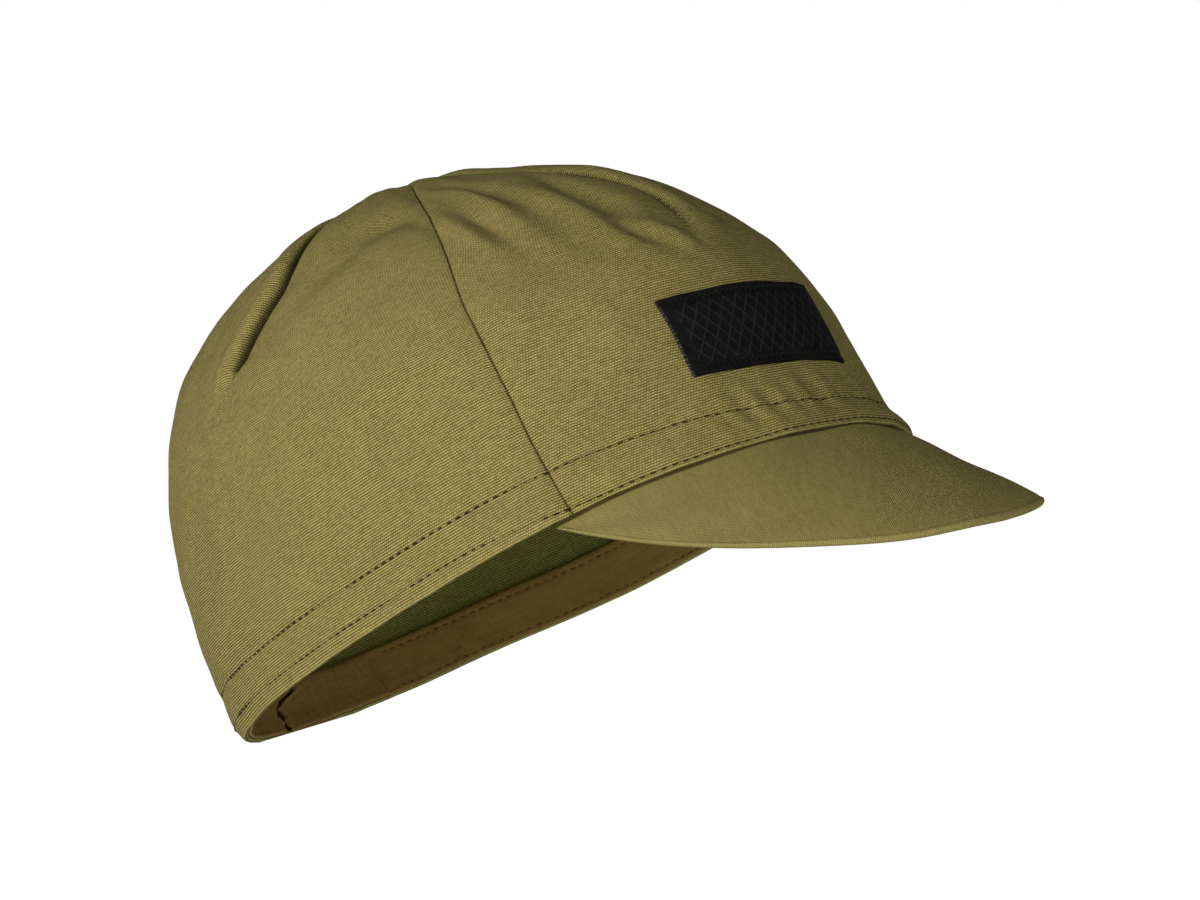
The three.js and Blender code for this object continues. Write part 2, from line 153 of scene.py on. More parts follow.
# The brim: how much steeper it is at its ends and flatter on the wearer's left in degrees, how
# far it reaches at its ends, the power of its outline, the part of it that is sewn in under the
# hem, its thinner ends, the grain of its cloth in degrees, and the groove inside its edge
BRIM_END_SLOPE = 12.5
BRIM_LEFT_RISE = 5
BRIM_END = 0.6 * MM
BRIM_CURVE = 2.3
BRIM_TUCK = 1.1 * MM
BRIM_THINNING = 0.55
BRIM_THIN_FROM = 0.8
BRIM_GRAIN = 33
BRIM_GROOVE = 1.7 * MM

# Where the brim's front is flatter, in degrees, and shorter, and the spread of both in degrees
BRIM_FLATTER = 2.8
BRIM_FLATTER_AT = 24
BRIM_SHORTER = 2 * MM
BRIM_SHORTER_AT = 19
BRIM_LEFT_SPREAD = 12

# The label: where its zigzag seam runs inside its edge, its rolled edge, and its pressed trellis
# with the pitch of its lines and how far they lean for each rise
LABEL_SEAM = 1.9 * MM
LABEL_ROUND = 0.45 * MM
TRELLIS_PITCH = 3.6 * MM
TRELLIS_LEAN = 0.7

# Rows of the crown's section on the face above the hem, on the hem and round its fold
FACE_ROWS = 76
HEM_ROWS = 34
FOLD_ROWS = 10

# Levels between which the weave turns from following the hem to lying flat over the top
FLAT_FROM = 0.35
FLAT_TO = 0.9

# Level curves of the crown, from the rim at level 0 to the top at level 1. The rise is a share of
# the crown's height, and the others are shares of its front reach, back reach and half width.
SECTIONS = [
    dict(level=0.0, rise=0.0, front=1.0, back=1.0, side=1.0),
    dict(level=0.12, rise=0.15, front=0.97, back=1.03, side=1.0),
    dict(level=0.25, rise=0.33, front=0.95, back=1.01, side=0.98),
    dict(level=0.38, rise=0.5, front=0.89, back=0.97, side=0.935),
    dict(level=0.52, rise=0.67, front=0.76, back=0.9, side=0.85),
    dict(level=0.66, rise=0.82, front=0.575, back=0.765, side=0.73),
    dict(level=0.8, rise=0.925, front=0.355, back=0.54, side=0.545),
    dict(level=0.9, rise=0.98, front=0.2, back=0.3, side=0.305),
    dict(level=1.0, rise=1.0, front=0.0, back=0.0, side=0.0),
]

# In each list of pairs below, the first number is a place and the second is the value there.
# Angle of the tuck in the elastic's casing, at shares of the way from the casing's foot to its top
TUCK_PATH = [
    (0.0, 191.2), (0.3, 190.8), (0.5, 191.2), (0.62, 188.5), (0.75, 184), (1.0, 183),
]

# Height of the rim's edge as a share of RIM_WAVE, at angles from the front
RIM_EDGE = [
    (-220, 0.3), (-180, -0.1), (-145, -0.4), (-90, -0.3), (-45, -0.2), (0, -1.0), (35, -2.0),
    (60, -1.5), (90, -0.45), (115, -0.2), (140, 0.2), (180, -0.1), (215, -0.4),
]

# Height of the upper stitching as a share of its height elsewhere, at angles round the front
UPPER_LINE = [
    (-60, 1.0), (-45, 0.93), (-28, 0.84), (-14, 0.7), (0, 0.6), (20, 0.52), (45, 0.7), (65, 1.0),
]

# Angles of the side seams and the side darts from the front, at levels
SEAM_PATH = [
    (0.0, 52), (0.4, 51), (0.56, 46), (0.7, 39), (0.88, 27), (1.0, 24),
]
SIDE_DART_PATH = [
    (0.0, 112), (0.4, 106), (0.56, 101), (0.7, 90), (0.85, 85), (1.0, 88),
]

# Angle of the front dart, which bends over to the wearer's left of the middle, at levels
FRONT_DART_PATH = [
    (0.0, -4), (0.36, -4), (0.42, -0.5), (0.5, 4.5), (0.58, 5.5), (0.75, 3), (1.0, 0),
]

# How strong the darts are, at levels. The side darts end at once, in a sharp tuck.
FRONT_DART_STRENGTH = [
    (0.0, 0), (0.35, 0), (0.42, 0.5), (0.5, 0.7), (0.62, 0.8), (0.88, 0.4), (1.0, 0),
]
SIDE_DART_STRENGTH = [
    (0.0, 0), (0.55, 0), (0.58, 0.95), (0.66, 1), (0.76, 0.75), (0.88, 0.4), (1.0, 0),
]

# Dents and folds: the place of the middle, the turn of the long way in degrees, and the half
# length, half width and depth as shares of the crown's height. A negative depth is a dent.
FOLDS = [
    dict(angle=-10, level=0.33, turn=0, length=0.4, width=0.2, depth=0.02),
    dict(angle=-60, level=0.72, turn=10, length=0.28, width=0.12, depth=-0.024),
    dict(angle=-27, level=0.57, turn=95, length=0.16, width=0.05, depth=-0.012),
    dict(angle=-12, level=0.52, turn=80, length=0.12, width=0.04, depth=-0.01),
    dict(angle=-36, level=0.3, turn=70, length=0.2, width=0.08, depth=-0.01),
    dict(angle=60, level=0.7, turn=-15, length=0.26, width=0.13, depth=-0.022),
    dict(angle=25, level=0.55, turn=85, length=0.17, width=0.06, depth=-0.012),
    dict(angle=150, level=0.5, turn=60, length=0.25, width=0.09, depth=-0.014),
    dict(angle=-155, level=0.36, turn=-65, length=0.28, width=0.08, depth=-0.014),
]

# Small wrinkles and puckers that the solids leave out, in the same columns
WRINKLES = [
    dict(angle=-29, level=0.63, turn=90, length=0.2, width=0.032, depth=0.02),
    dict(angle=-23, level=0.66, turn=90, length=0.16, width=0.026, depth=-0.013),
    dict(angle=-40, level=0.56, turn=96, length=0.11, width=0.026, depth=0.015),
    dict(angle=-35, level=0.57, turn=94, length=0.11, width=0.022, depth=-0.011),
    dict(angle=-9, level=0.57, turn=88, length=0.14, width=0.04, depth=-0.024),
    dict(angle=-13, level=0.43, turn=108, length=0.07, width=0.035, depth=-0.016),
    dict(angle=-17, level=0.53, turn=92, length=0.16, width=0.04, depth=0.011),
    dict(angle=-7, level=0.39, turn=100, length=0.07, width=0.035, depth=0.012),
    dict(angle=13, level=0.47, turn=80, length=0.12, width=0.06, depth=-0.02),
    dict(angle=-44.5, level=0.69, turn=88, length=0.1, width=0.03, depth=-0.01),
    dict(angle=-52, level=0.73, turn=0, length=0.07, width=0.035, depth=-0.008),
    dict(angle=-72, level=0.66, turn=30, length=0.26, width=0.05, depth=-0.011),
    dict(angle=-60, level=0.61, turn=60, length=0.05, width=0.04, depth=-0.005),
    dict(angle=-45, level=0.92, turn=0, length=0.12, width=0.08, depth=0.008),
    dict(angle=13, level=0.76, turn=90, length=0.26, width=0.09, depth=-0.013),
    dict(angle=100, level=0.3, turn=50, length=0.2, width=0.06, depth=-0.008),
    dict(angle=170, level=0.3, turn=95, length=0.16, width=0.04, depth=-0.008),
    dict(angle=-172, level=0.28, turn=82, length=0.14, width=0.035, depth=-0.007),
]

# Soft waves of the whole cloth: how many to the metre round the head and up it, their start as a
# share of a wave, and their height in millimetres
CLOTH_WAVES = [
    dict(round=23, up=17, start=0.1, height=0.16),
    dict(round=-31, up=26, start=0.45, height=0.12),
    dict(round=47, up=-9, start=0.7, height=0.09),
    dict(round=12, up=52, start=0.2, height=0.09),
    dict(round=71, up=38, start=0.55, height=0.05),
    dict(round=-64, up=57, start=0.9, height=0.05),
]


def sample(pairs, at):
    """The smooth value at a place: a cubic between two pairs, with their neighbours' slopes."""
    keys, values = np.array(pairs, float).T
    slopes = np.empty_like(values)
    slopes[1:-1] = (values[2:] - values[:-2]) / (keys[2:] - keys[:-2])
    slopes[0] = (values[1] - values[0]) / (keys[1] - keys[0])
    slopes[-1] = (values[-1] - values[-2]) / (keys[-1] - keys[-2])
    row = np.searchsorted(keys[1:-1], at)
    span = keys[row + 1] - keys[row]
    u = (at - keys[row]) / span
    bend = u * u * (3 - 2 * u)
    leave = u * (1 - u) ** 2
    arrive = u * u * (u - 1)
    ends = values[row] + bend * (values[row + 1] - values[row])
    return ends + span * (leave * slopes[row] + arrive * slopes[row + 1])


def sample_straight(pairs, at):
    """The value at a place on the straight line between two pairs."""
    keys, values = np.array(pairs, float).T
    return np.interp(at, keys, values)


def section(name, level):
    """A column of the crown's level curves, at a level between them."""
    return sample([(row["level"], row[name]) for row in SECTIONS], level)


def bell(x):
    """A bell curve that is 1 at 0."""
    return np.exp(-x * x)


def smooth_step(low, high, x):
    """0 below low, 1 above high, and a smooth rise between them."""
    share = np.clip((x - low) / (high - low), 0, 1)
    return share * share * (3 - 2 * share)


def wrap_angle(angle):
    """The same angle between -180 and 180 degrees."""
    return angle - 360 * np.round(angle / 360)


def unit(vectors):
    """Vectors of length 1."""
    return vectors / np.linalg.norm(vectors, axis=-1, keepdims=True)


def steps_along(points, axis):
    """How far the points have come along an axis of their grid."""
    steps = np.linalg.norm(np.diff(points, axis=axis), axis=-1)
    first = [(0, 0)] * steps.ndim
    first[axis] = (1, 0)
    return np.pad(np.cumsum(steps, axis=axis), first)


class Crown:
    """The crown's cloth: places worked out from an angle round the head and a level up it."""

    def __init__(self, sizes):
        self.sizes = sizes
        first = SECTIONS[1]
        self.level_per_metre = first["level"] / (first["rise"] * sizes.crown_height)
        reach = (sizes.front_reach + sizes.back_reach) / 2
        bulge = 1.15
        self.way_up = np.hypot(sizes.crown_height, reach) * bulge
        self.rim_angles = np.linspace(-180, 180, 1441)
        hem_level = np.full_like(self.rim_angles, self.level_of(HEM_MIDDLE))
        self.rim_way = steps_along(self.form(self.rim_angles, hem_level), 0)
        mount = next(m for m in frame["record"]["mounts"] if m["name"] == "head_opening")
        pitch = np.arctan2(-mount["axis"][1], -mount["axis"][2])
        self.stand = Matrix.Translation(mount["pos_m"]) @ Matrix.Rotation(-pitch, 4, "X")

    def level_of(self, height):
        """Level of a height above the rim, where the wall stands almost upright."""
        return height * self.level_per_metre

    def form(self, angle, level):
        """An oval at each level: powers of sine and cosine times the level's three reaches."""
        sizes = self.sizes
        rise = section("rise", level)
        power = OVAL_POWER * (1 - level) + level
        sine = np.sin(np.radians(angle))
        cosine = np.cos(np.radians(angle))
        across = np.sign(sine) * np.abs(sine) ** power
        along = np.sign(cosine) * np.abs(cosine) ** power
        front = sizes.front_reach * section("front", level)
        back = sizes.back_reach * section("back", level)
        side = sizes.half_width * section("side", level)
        edge = RIM_WAVE * sample(RIM_EDGE, wrap_angle(angle))
        x = side * across
        y = TOP_SETBACK * rise**2 - np.where(along > 0, front, back) * along
        z = rise * sizes.crown_height + edge * (1 - np.minimum(rise, 1)) ** 1.5
        return np.stack([x, y, z], axis=-1)

    def facing(self, angle, level):
        """The direction that the smooth form faces: the cross product of its two slopes."""
        turn = 1
        climb = 0.004
        low = np.maximum(level - climb, 0)
        high = np.minimum(level + climb, 1)
        around = self.form(angle + turn, level) - self.form(angle - turn, level)
        up = self.form(angle, high) - self.form(angle, low)
        normal = np.cross(around, up)
        at_top = (level > 0.995)[..., None]
        return unit(np.where(at_top, [0.0, 0.0, 1.0], normal))

    def distance_round(self, angle, other, level):
        """Metres along the rim's direction from one angle to another."""
        place = self.form(other, level)
        reach = np.hypot(place[..., 0], place[..., 1] - TOP_SETBACK)
        return np.radians(wrap_angle(angle - other)) * reach

    def way_round(self, angle):
        """Metres along the hem from the middle of the back, over the wearer's right."""
        laps = np.round(angle / 360)
        way = np.interp(wrap_angle(angle), self.rim_angles, self.rim_way)
        return way + laps * self.rim_way[-1]

    def angle_at(self, way):
        """The angle at a distance along the hem: the inverse of way_round."""
        return np.interp(way, self.rim_way, self.rim_angles)

    def dart_relief(self, distance, width, lean):
        """A crease at 0 with a soft hollow before it, and a ridge of laid-over cloth after it.

        The ridge is a half sine of a power of the distance, so that it leans towards the crease.
        """
        crease = -DART_CREASE * np.exp(-np.abs(distance) / SEAM_WIDTH)
        hollow = crease - DART_HOLLOW * bell(distance / DART_WIDTH)
        across = np.clip(distance / width, 0, 1)
        ridge = crease * (1 - across) + DART_RIDGE * np.sin(np.pi * across**lean)
        cut = DART_CUT * np.exp(-np.abs(distance) / DART_CUT_WIDTH)
        return np.where(distance < 0, hollow, ridge) - cut

    def fold_relief(self, angle, level, fold):
        """A long bell-shaped dent or fold, turned on the cloth."""
        at = np.full_like(level, fold["level"])
        around = self.distance_round(angle, np.full_like(angle, fold["angle"]), at)
        up = (level - fold["level"]) * self.way_up
        cosine = np.cos(np.radians(fold["turn"]))
        sine = np.sin(np.radians(fold["turn"]))
        size = self.sizes.crown_height
        lengthwise = (around * cosine + up * sine) / (fold["length"] * size)
        crosswise = (up * cosine - around * sine) / (fold["width"] * size)
        return fold["depth"] * size * bell(lengthwise) * bell(crosswise)

    def gather_relief(self, angle, height):
        """Waves of the hem that the elastic draws up at the back, dying out upwards."""
        around = self.distance_round(angle, np.full_like(angle, 180), np.zeros_like(angle))
        spread = self.sizes.back_reach * np.radians(ELASTIC_SPREAD)
        wave = np.cos(2 * np.pi * around / GATHER_PITCH)
        fade = bell(around / spread) * bell(height / (2 * self.sizes.stitch_height))
        return GATHER_DEPTH * wave * fade

    def pucker_relief(self, angle, height):
        """Leaning tucks of the hem under the label, a sum of two cosines along it."""
        around = self.distance_round(angle, np.zeros_like(angle), np.zeros_like(angle))
        turn = 2 * np.pi * (around + PUCKER_LEAN * height) / PUCKER_PITCH
        wave = np.cos(turn) + 0.5 * np.cos(0.63 * turn + 1)
        fade = bell((wrap_angle(angle) - PUCKER_ANGLE) / PUCKER_SPREAD)
        fade = fade * bell((height - PUCKER_HEIGHT) / PUCKER_RISE)
        return PUCKER_DEPTH * wave * fade

    def lower_line(self, angle):
        """Height of the lower stitching, which comes down close to the brim in front."""
        stitches = bpy.context.scene.cap_stitches
        turned = np.abs(wrap_angle(angle))
        share = smooth_step(LOWER_LINE_FROM, LOWER_LINE_TO, turned)
        return stitches.front_height + (stitches.lower_height - stitches.front_height) * share

    def upper_line(self, angle):
        """Height of the upper stitching, which comes down in front."""
        share = sample_straight(UPPER_LINE, wrap_angle(angle))
        return self.sizes.stitch_height * share

    def hem_fullness(self, angle):
        """How full the hem is between its lines: less in front, and more on the wearer's left."""
        turn = wrap_angle(angle)
        return 1 - 0.6 * bell((turn + 12) / 30) + 0.5 * bell((turn - 48) / 25)

    def needle_relief(self, angle, height):
        """Small dents along the hem's two lines, a cosine of the way round at the stitch pitch."""
        stitches = bpy.context.scene.cap_stitches
        turn = 2 * np.pi * self.way_round(angle) / stitches.pitch
        line = bell((height - self.upper_line(angle)) / UPPER_DENT)
        line = line + bell((height - self.lower_line(angle)) / LOWER_DENT)
        return -NEEDLE_DENT * (1 + np.cos(turn)) * line

    def cloth_waves(self, angle, level):
        """A sum of low sine waves that run over the cloth in several directions."""
        around = self.way_round(angle)
        up = level * self.way_up
        out = np.zeros_like(level)
        for wave in CLOTH_WAVES:
            phase = wave["round"] * around + wave["up"] * up + wave["start"]
            out = out + wave["height"] * MM * np.sin(2 * np.pi * phase)
        return out

    def creases(self, angle, level):
        """How near the cloth is to a seam, and to a dart, as masks of the painted shade along
        them: bell curves of the distance to each.
        """
        turned = np.abs(wrap_angle(angle))
        seam = sample(SEAM_PATH, level)
        dart = sample(SIDE_DART_PATH, level)
        from_seam = self.distance_round(turned, seam, level)
        from_side = self.distance_round(turned, dart, level)
        middle = sample(FRONT_DART_PATH, level)
        from_front = self.distance_round(angle, middle, level)
        side = sample_straight(SIDE_DART_STRENGTH, level)
        front = sample_straight(FRONT_DART_STRENGTH, level)
        near_seam = np.exp(-np.abs(from_seam) / CREASE_WIDTH)
        side = smooth_step(0, 0.6, side)
        front = 0.8 * smooth_step(0, 0.6, front)
        near_dart = side * np.exp(-np.abs(from_side) / (1.4 * CREASE_WIDTH))
        near_dart = near_dart + front * np.exp(-np.abs(from_front) / CREASE_WIDTH)
        return np.stack([near_seam, np.minimum(near_dart, 1)], axis=-1)

    def relief(self, angle, level):
        """How far the cloth stands out from the smooth form: the sum of all seams and folds."""
        below_top = (1 - level) * self.way_up
        near = np.minimum(below_top / TOP_FADE, 1)
        seam = sample(SEAM_PATH, level)
        dart = sample(SIDE_DART_PATH, level)
        height = level / self.level_per_metre
        turned = np.abs(wrap_angle(angle))
        out = TOP_PEAK * bell(below_top / TOP_PEAK_SPREAD)
        from_seam = self.distance_round(turned, seam, level)
        out = out - near * SEAM_DEPTH * np.exp(-np.abs(from_seam) / SEAM_WIDTH)
        strength = sample_straight(FRONT_DART_STRENGTH, level)
        middle = sample(FRONT_DART_PATH, level)
        from_front = self.distance_round(angle, middle, level)
        out = out + strength * self.dart_relief(from_front, FRONT_DART_WIDTH, FRONT_DART_LEAN)
        strength = sample_straight(SIDE_DART_STRENGTH, level)
        from_side = self.distance_round(turned, dart, level)
        out = out + strength * self.dart_relief(from_side, DART_WIDTH, DART_LEAN)
        for fold in FOLDS + WRINKLES:
            out = out + near * self.fold_relief(angle, level, fold)
        upper = self.upper_line(angle)
        pinch = STITCH_PINCH * bell((height - upper) / SEAM_WIDTH)
        puff = HEM_PUFF * bell((3 * height - upper) / upper)
        out = out + self.hem_fullness(angle) * (puff - pinch)
        out = out + self.pucker_relief(angle, height)
        out = out + self.gather_relief(angle, height)
        out = out + self.needle_relief(angle, height)
        return out + near * self.cloth_waves(angle, level)

    def point(self, angle, level, depth=0.0):
        """A place in the crown's cloth, at a depth under its outer face."""
        angle, level, depth = np.broadcast_arrays(
            np.asarray(angle, float), np.asarray(level, float), np.asarray(depth, float)
        )
        out = self.relief(angle, level) - depth
        return self.form(angle, level) + out[..., None] * self.facing(angle, level)

    def standing(self, points):
        """Points of the rim's frame, moved to where the cap stands, none under the ground."""
        turn = np.array(self.stand.to_3x3())
        moved = points @ turn.T + np.array(self.stand.translation)
        moved[..., 2] = np.maximum(moved[..., 2], 0)
        return moved


def profile_mesh(name, points, maps, material):
    """A closed piece from a grid of points: rows follow its section, columns run along it.

    The section's second half folds back along its first, so each end is closed by joining row k to
    the row as far from the end, and the last row is joined to the first. Places that coincide are
    merged, which closes the poles. Maps are named grids of two values for each point.
    """
    rows, columns = points.shape[:2]
    grid = np.arange(rows * columns).reshape(rows, columns)
    around = np.vstack([grid, grid[:1]])
    walls = np.stack([around[:-1, :-1], around[1:, :-1], around[1:, 1:], around[:-1, 1:]], axis=-1)
    k = np.arange(rows // 2 - 1)
    first = grid[:, 0]
    last = grid[:, -1]
    start = np.stack([first[rows - 1 - k], first[rows - 2 - k], first[k + 1], first[k]], axis=-1)
    end = np.stack([last[k], last[k + 1], last[rows - 2 - k], last[rows - 1 - k]], axis=-1)
    faces = np.concatenate([walls.reshape(-1, 4), start, end])
    return place_mesh(name, points.reshape(-1, 3), faces, maps, material)


def place_mesh(name, vertices, faces, maps, material):
    """A mesh object from arrays of places and faces, with its maps, merged and shaded smooth."""
    mesh = bpy.data.meshes.new(name)
    mesh.from_pydata(vertices.tolist(), [], faces.tolist())
    corners = np.empty(len(mesh.loops), np.int32)
    mesh.loops.foreach_get("vertex_index", corners)
    for map_name, values in maps.items():
        layer = mesh.uv_layers.new(name=map_name)
        flat = values.reshape(-1, 2)[corners]
        layer.data.foreach_set("uv", flat.astype(np.float32).ravel())
    work = bmesh.new()
    work.from_mesh(mesh)
    bmesh.ops.remove_doubles(work, verts=work.verts, dist=SAME_PLACE)
    work.to_mesh(mesh)
    work.free()
    mesh.shade_smooth()
    mesh.set_sharp_from_angle(angle=np.radians(SHARP_TURN))
    mesh.materials.append(material)
    piece = bpy.data.objects.new(name, mesh)
    bpy.context.collection.objects.link(piece)
    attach(piece, BODY)
    return piece


def spread(count, crowding):
    """Shares from 0 to 1 that stand closer together at both ends."""
    even = np.linspace(0, 1, count + 1)
    return even - crowding * np.sin(2 * np.pi * even) / (2 * np.pi)


def panel_section(sizes, crown):
    """Levels and depths along a panel's section: down its face, round the hem and up inside."""
    radius = sizes.hem / 2
    hem_level = crown.level_of(HEM_TOP)
    upper = np.linspace(1, hem_level, FACE_ROWS)[:-1]
    hem = np.linspace(hem_level, crown.level_of(radius), HEM_ROWS)
    face = np.concatenate([upper, hem])
    turn = np.linspace(0, np.pi, FOLD_ROWS)[1:-1]
    fold_levels = crown.level_of(radius * (1 - np.sin(turn)))
    fold_depths = radius * (1 - np.cos(turn))
    heights = face[::-1] / crown.level_per_metre
    step = smooth_step(radius, sizes.stitch_height, heights)
    inner_depths = sizes.hem + (sizes.cloth - sizes.hem) * step
    levels = np.concatenate([face, fold_levels, face[::-1]])
    depths = np.concatenate([np.zeros_like(face), fold_depths, inner_depths])
    return levels, depths


def crown_panel(name, crown, angles_at, reference, material):
    """A panel of the crown. Its columns are angles that change with the level.

    The weave's map lies flat near the top, as polar places round the top, and follows the hem and
    the reference column lower down.
    """
    sizes = crown.sizes
    levels, depths = panel_section(sizes, crown)
    angles = angles_at(levels)
    levels = levels[:, None] + np.zeros_like(angles)
    face = crown.point(angles, levels)
    facing = crown.facing(angles, levels)
    along = steps_along(face, 1)
    edge = np.minimum(along, along[:, -1:] - along)
    inside = np.clip(1 - edge / SEAM_ROUND, 0, 1)
    rolled = SEAM_ROUND * (1 - np.sqrt(1 - inside**2))
    half = len(levels) // 2
    rolled[half:] = 0
    places = face - (depths[:, None] + rolled)[..., None] * facing
    around = along - np.take_along_axis(along, reference[None, :], axis=1)
    from_top = steps_along(face, 0)
    from_top[half:] = from_top[:half][::-1]
    whole = from_top[half - 1]
    from_hem = whole[None, :] - from_top
    fan = around / np.maximum(from_top, 0.1 * MM)
    flat_u = from_top * np.sin(fan)
    flat_v = np.mean(whole) - from_top * np.cos(fan)
    lift = smooth_step(FLAT_FROM, FLAT_TO, levels)
    weave_u = around * (1 - lift) + flat_u * lift
    weave_v = from_hem * (1 - lift) + flat_v * lift
    height = levels / crown.level_per_metre
    lower = crown.lower_line(angles)
    maps = {
        "weave": np.stack([weave_u, weave_v], axis=-1),
        "hem": np.stack([crown.way_round(angles), height], axis=-1),
        "line": np.stack([height - lower, height - crown.upper_line(angles)], axis=-1),
        # Nearness to the seams and the darts, the masks of the painted shade along them
        "crease": crown.creases(angles, levels),
        "side": np.stack([depths[:, None] / sizes.cloth + 0 * along, 0 * along], axis=-1),
    }
    return profile_mesh(name, crown.standing(places), maps, material)


def brim_middle(crown, angle, way):
    """The middle of the brim's sheet: straight lines forward and down from under the rim.

    The slope grows with the square of the way to an end, and the reach falls with a power of it.
    Two bell curves make the front a little flatter and shorter on the wearer's left.
    """
    sizes = crown.sizes
    spread_angle = np.degrees(sizes.brim_spread)
    share = angle / spread_angle
    slope = np.degrees(sizes.brim_droop) + BRIM_END_SLOPE * share**2
    slope = slope - BRIM_LEFT_RISE * np.maximum(share, 0)
    slope = slope - BRIM_FLATTER * bell((angle - BRIM_FLATTER_AT) / BRIM_LEFT_SPREAD)
    slope = np.radians(slope)
    fall = np.minimum(np.abs(share), 1) ** BRIM_CURVE
    reach = BRIM_END + (sizes.brim_length - BRIM_END) * (1 - fall)
    reach = reach - BRIM_SHORTER * bell((angle - BRIM_SHORTER_AT) / BRIM_LEFT_SPREAD)
    puff = HEM_PUFF * bell(1.0)
    level = np.zeros_like(angle)
    root = crown.form(angle, level) + (puff - sizes.cloth / 2) * crown.facing(angle, level)
    length = way * reach
    clear = sizes.brim_thickness / 2
    y = root[..., 1] - length * np.cos(slope) + clear * np.sin(slope)
    z = root[..., 2] - GAP - length * np.sin(slope) - clear * np.cos(slope)
    return np.stack([root[..., 0], y, z], axis=-1), reach


def brim_piece(crown, material):
    """The brim: its upper face, rounded edge and lower face, carried along the rim.

    The face is the middle plus half the thickness along the sheet's own facing. Its root is sewn
    in under the hem. A shallow groove runs inside the edge, where the turned cloth ends.
    """
    sizes = crown.sizes
    along = 2 * spread(220, 0.35) - 1
    angle = np.degrees(sizes.brim_spread) * along
    ends = smooth_step(BRIM_THIN_FROM, 1, np.abs(along))
    half = sizes.brim_thickness / 2 * (1 - BRIM_THINNING * ends)
    forward = np.linspace(0, 1, 61)
    turn = np.linspace(0, np.pi, 12)[1:-1]
    share = np.concatenate([forward, np.ones_like(turn), forward[::-1]])
    round_part = np.concatenate([np.zeros_like(forward), np.sin(turn), np.zeros_like(forward)])
    lift = np.concatenate([np.ones_like(forward), np.cos(turn), -np.ones_like(forward)])
    angles = np.broadcast_to(angle, (len(share), len(angle)))
    _, reach = brim_middle(crown, angles, 0)
    edge = np.minimum(half / reach, 0.3)
    sewn_in = (1 - share[:, None]) * BRIM_TUCK / reach
    way = share[:, None] * (1 - edge) + round_part[:, None] * edge - sewn_in
    middle, _ = brim_middle(crown, angles, way)
    ahead = brim_middle(crown, angles, 1)[0] - brim_middle(crown, angles, 0)[0]
    around = brim_middle(crown, angles + 0.5, way)[0] - brim_middle(crown, angles - 0.5, way)[0]
    up = unit(np.cross(ahead, around))
    inward = (1 - way) * reach
    groove = -0.16 * MM * bell((inward - BRIM_GROOVE) / (0.45 * MM))
    swell = 0.35 * MM * np.sin(2 * np.pi * (middle[..., 0] * 19 + 0.2)) * way
    swell = swell + 0.2 * MM * np.sin(2 * np.pi * (middle[..., 0] * 33 + way * 1.7))
    face = lift[:, None] * (half + groove) + swell
    places = middle + face[..., None] * up
    halfway = middle[len(forward) // 2]
    straight = np.interp(middle[..., 0], halfway[:, 0], steps_along(halfway, 0))
    mean_slope = np.radians(52)
    round_edge = np.arcsin(np.clip(round_part, 0, 1))[:, None] * half
    forward_way = round_edge - middle[..., 1] / np.cos(mean_slope)
    grain = np.radians(BRIM_GRAIN)
    weave_u = forward_way * np.cos(grain) - straight * np.sin(grain)
    weave_v = straight * np.cos(grain) + forward_way * np.sin(grain)
    maps = {
        "weave": np.stack([weave_u, weave_v], axis=-1),
        "hem": np.stack([way * reach, inward], axis=-1),
    }
    return profile_mesh("brim_cover", crown.standing(places), maps, material)


def band_section(low, high, outer, inner, count):
    """Heights and depths round a flat tape: up its outer face, round its edge and down inside."""
    radius = (inner - outer) / 2
    middle = (inner + outer) / 2
    rise = np.linspace(low + radius, high - radius, count)
    turn = np.linspace(0, np.pi, 6)[1:-1]
    half_turn = len(turn) // 2
    top_heights = high - radius + radius * np.sin(turn)
    top_depths = middle - radius * np.cos(turn)
    foot_heights = low + radius - radius * np.sin(turn)
    foot_depths = middle + radius * np.cos(turn)
    heights = [foot_heights[half_turn:], rise, top_heights, rise[::-1], foot_heights[:half_turn]]
    depths = [
        foot_depths[half_turn:],
        np.full(count, outer),
        top_depths,
        np.full(count, inner),
        foot_depths[:half_turn],
    ]
    return np.concatenate(heights), np.concatenate(depths)


def tape_grid(crown, thickness, angle):
    """A tape's section carried round the rim: angles, heights, depths, and where it faces in."""
    outer = crown.sizes.cloth + GAP
    inner = outer + thickness
    high = BAND_FOOT + crown.sizes.band_height
    heights, depths = band_section(BAND_FOOT, high, outer, inner, 40)
    angles = np.broadcast_to(angle, (len(heights), len(angle)))
    height = np.broadcast_to(heights[::-1, None], angles.shape)
    depth = depths[::-1, None]
    return angles, height, depth, depth > (outer + inner) / 2


def tape_mesh(name, crown, angles, height, depth, tuck, material):
    """A tape from its grid, with the map of its weave and one of how deep its tuck is, which masks
    the painted shade in the tuck.
    """
    maps = {
        "weave": np.stack([crown.way_round(angles), height], axis=-1),
        "tuck": np.stack([tuck, height - BAND_FOOT], axis=-1),
    }
    places = crown.point(angles, crown.level_of(height), depth)
    return profile_mesh(name, crown.standing(places), maps, material)


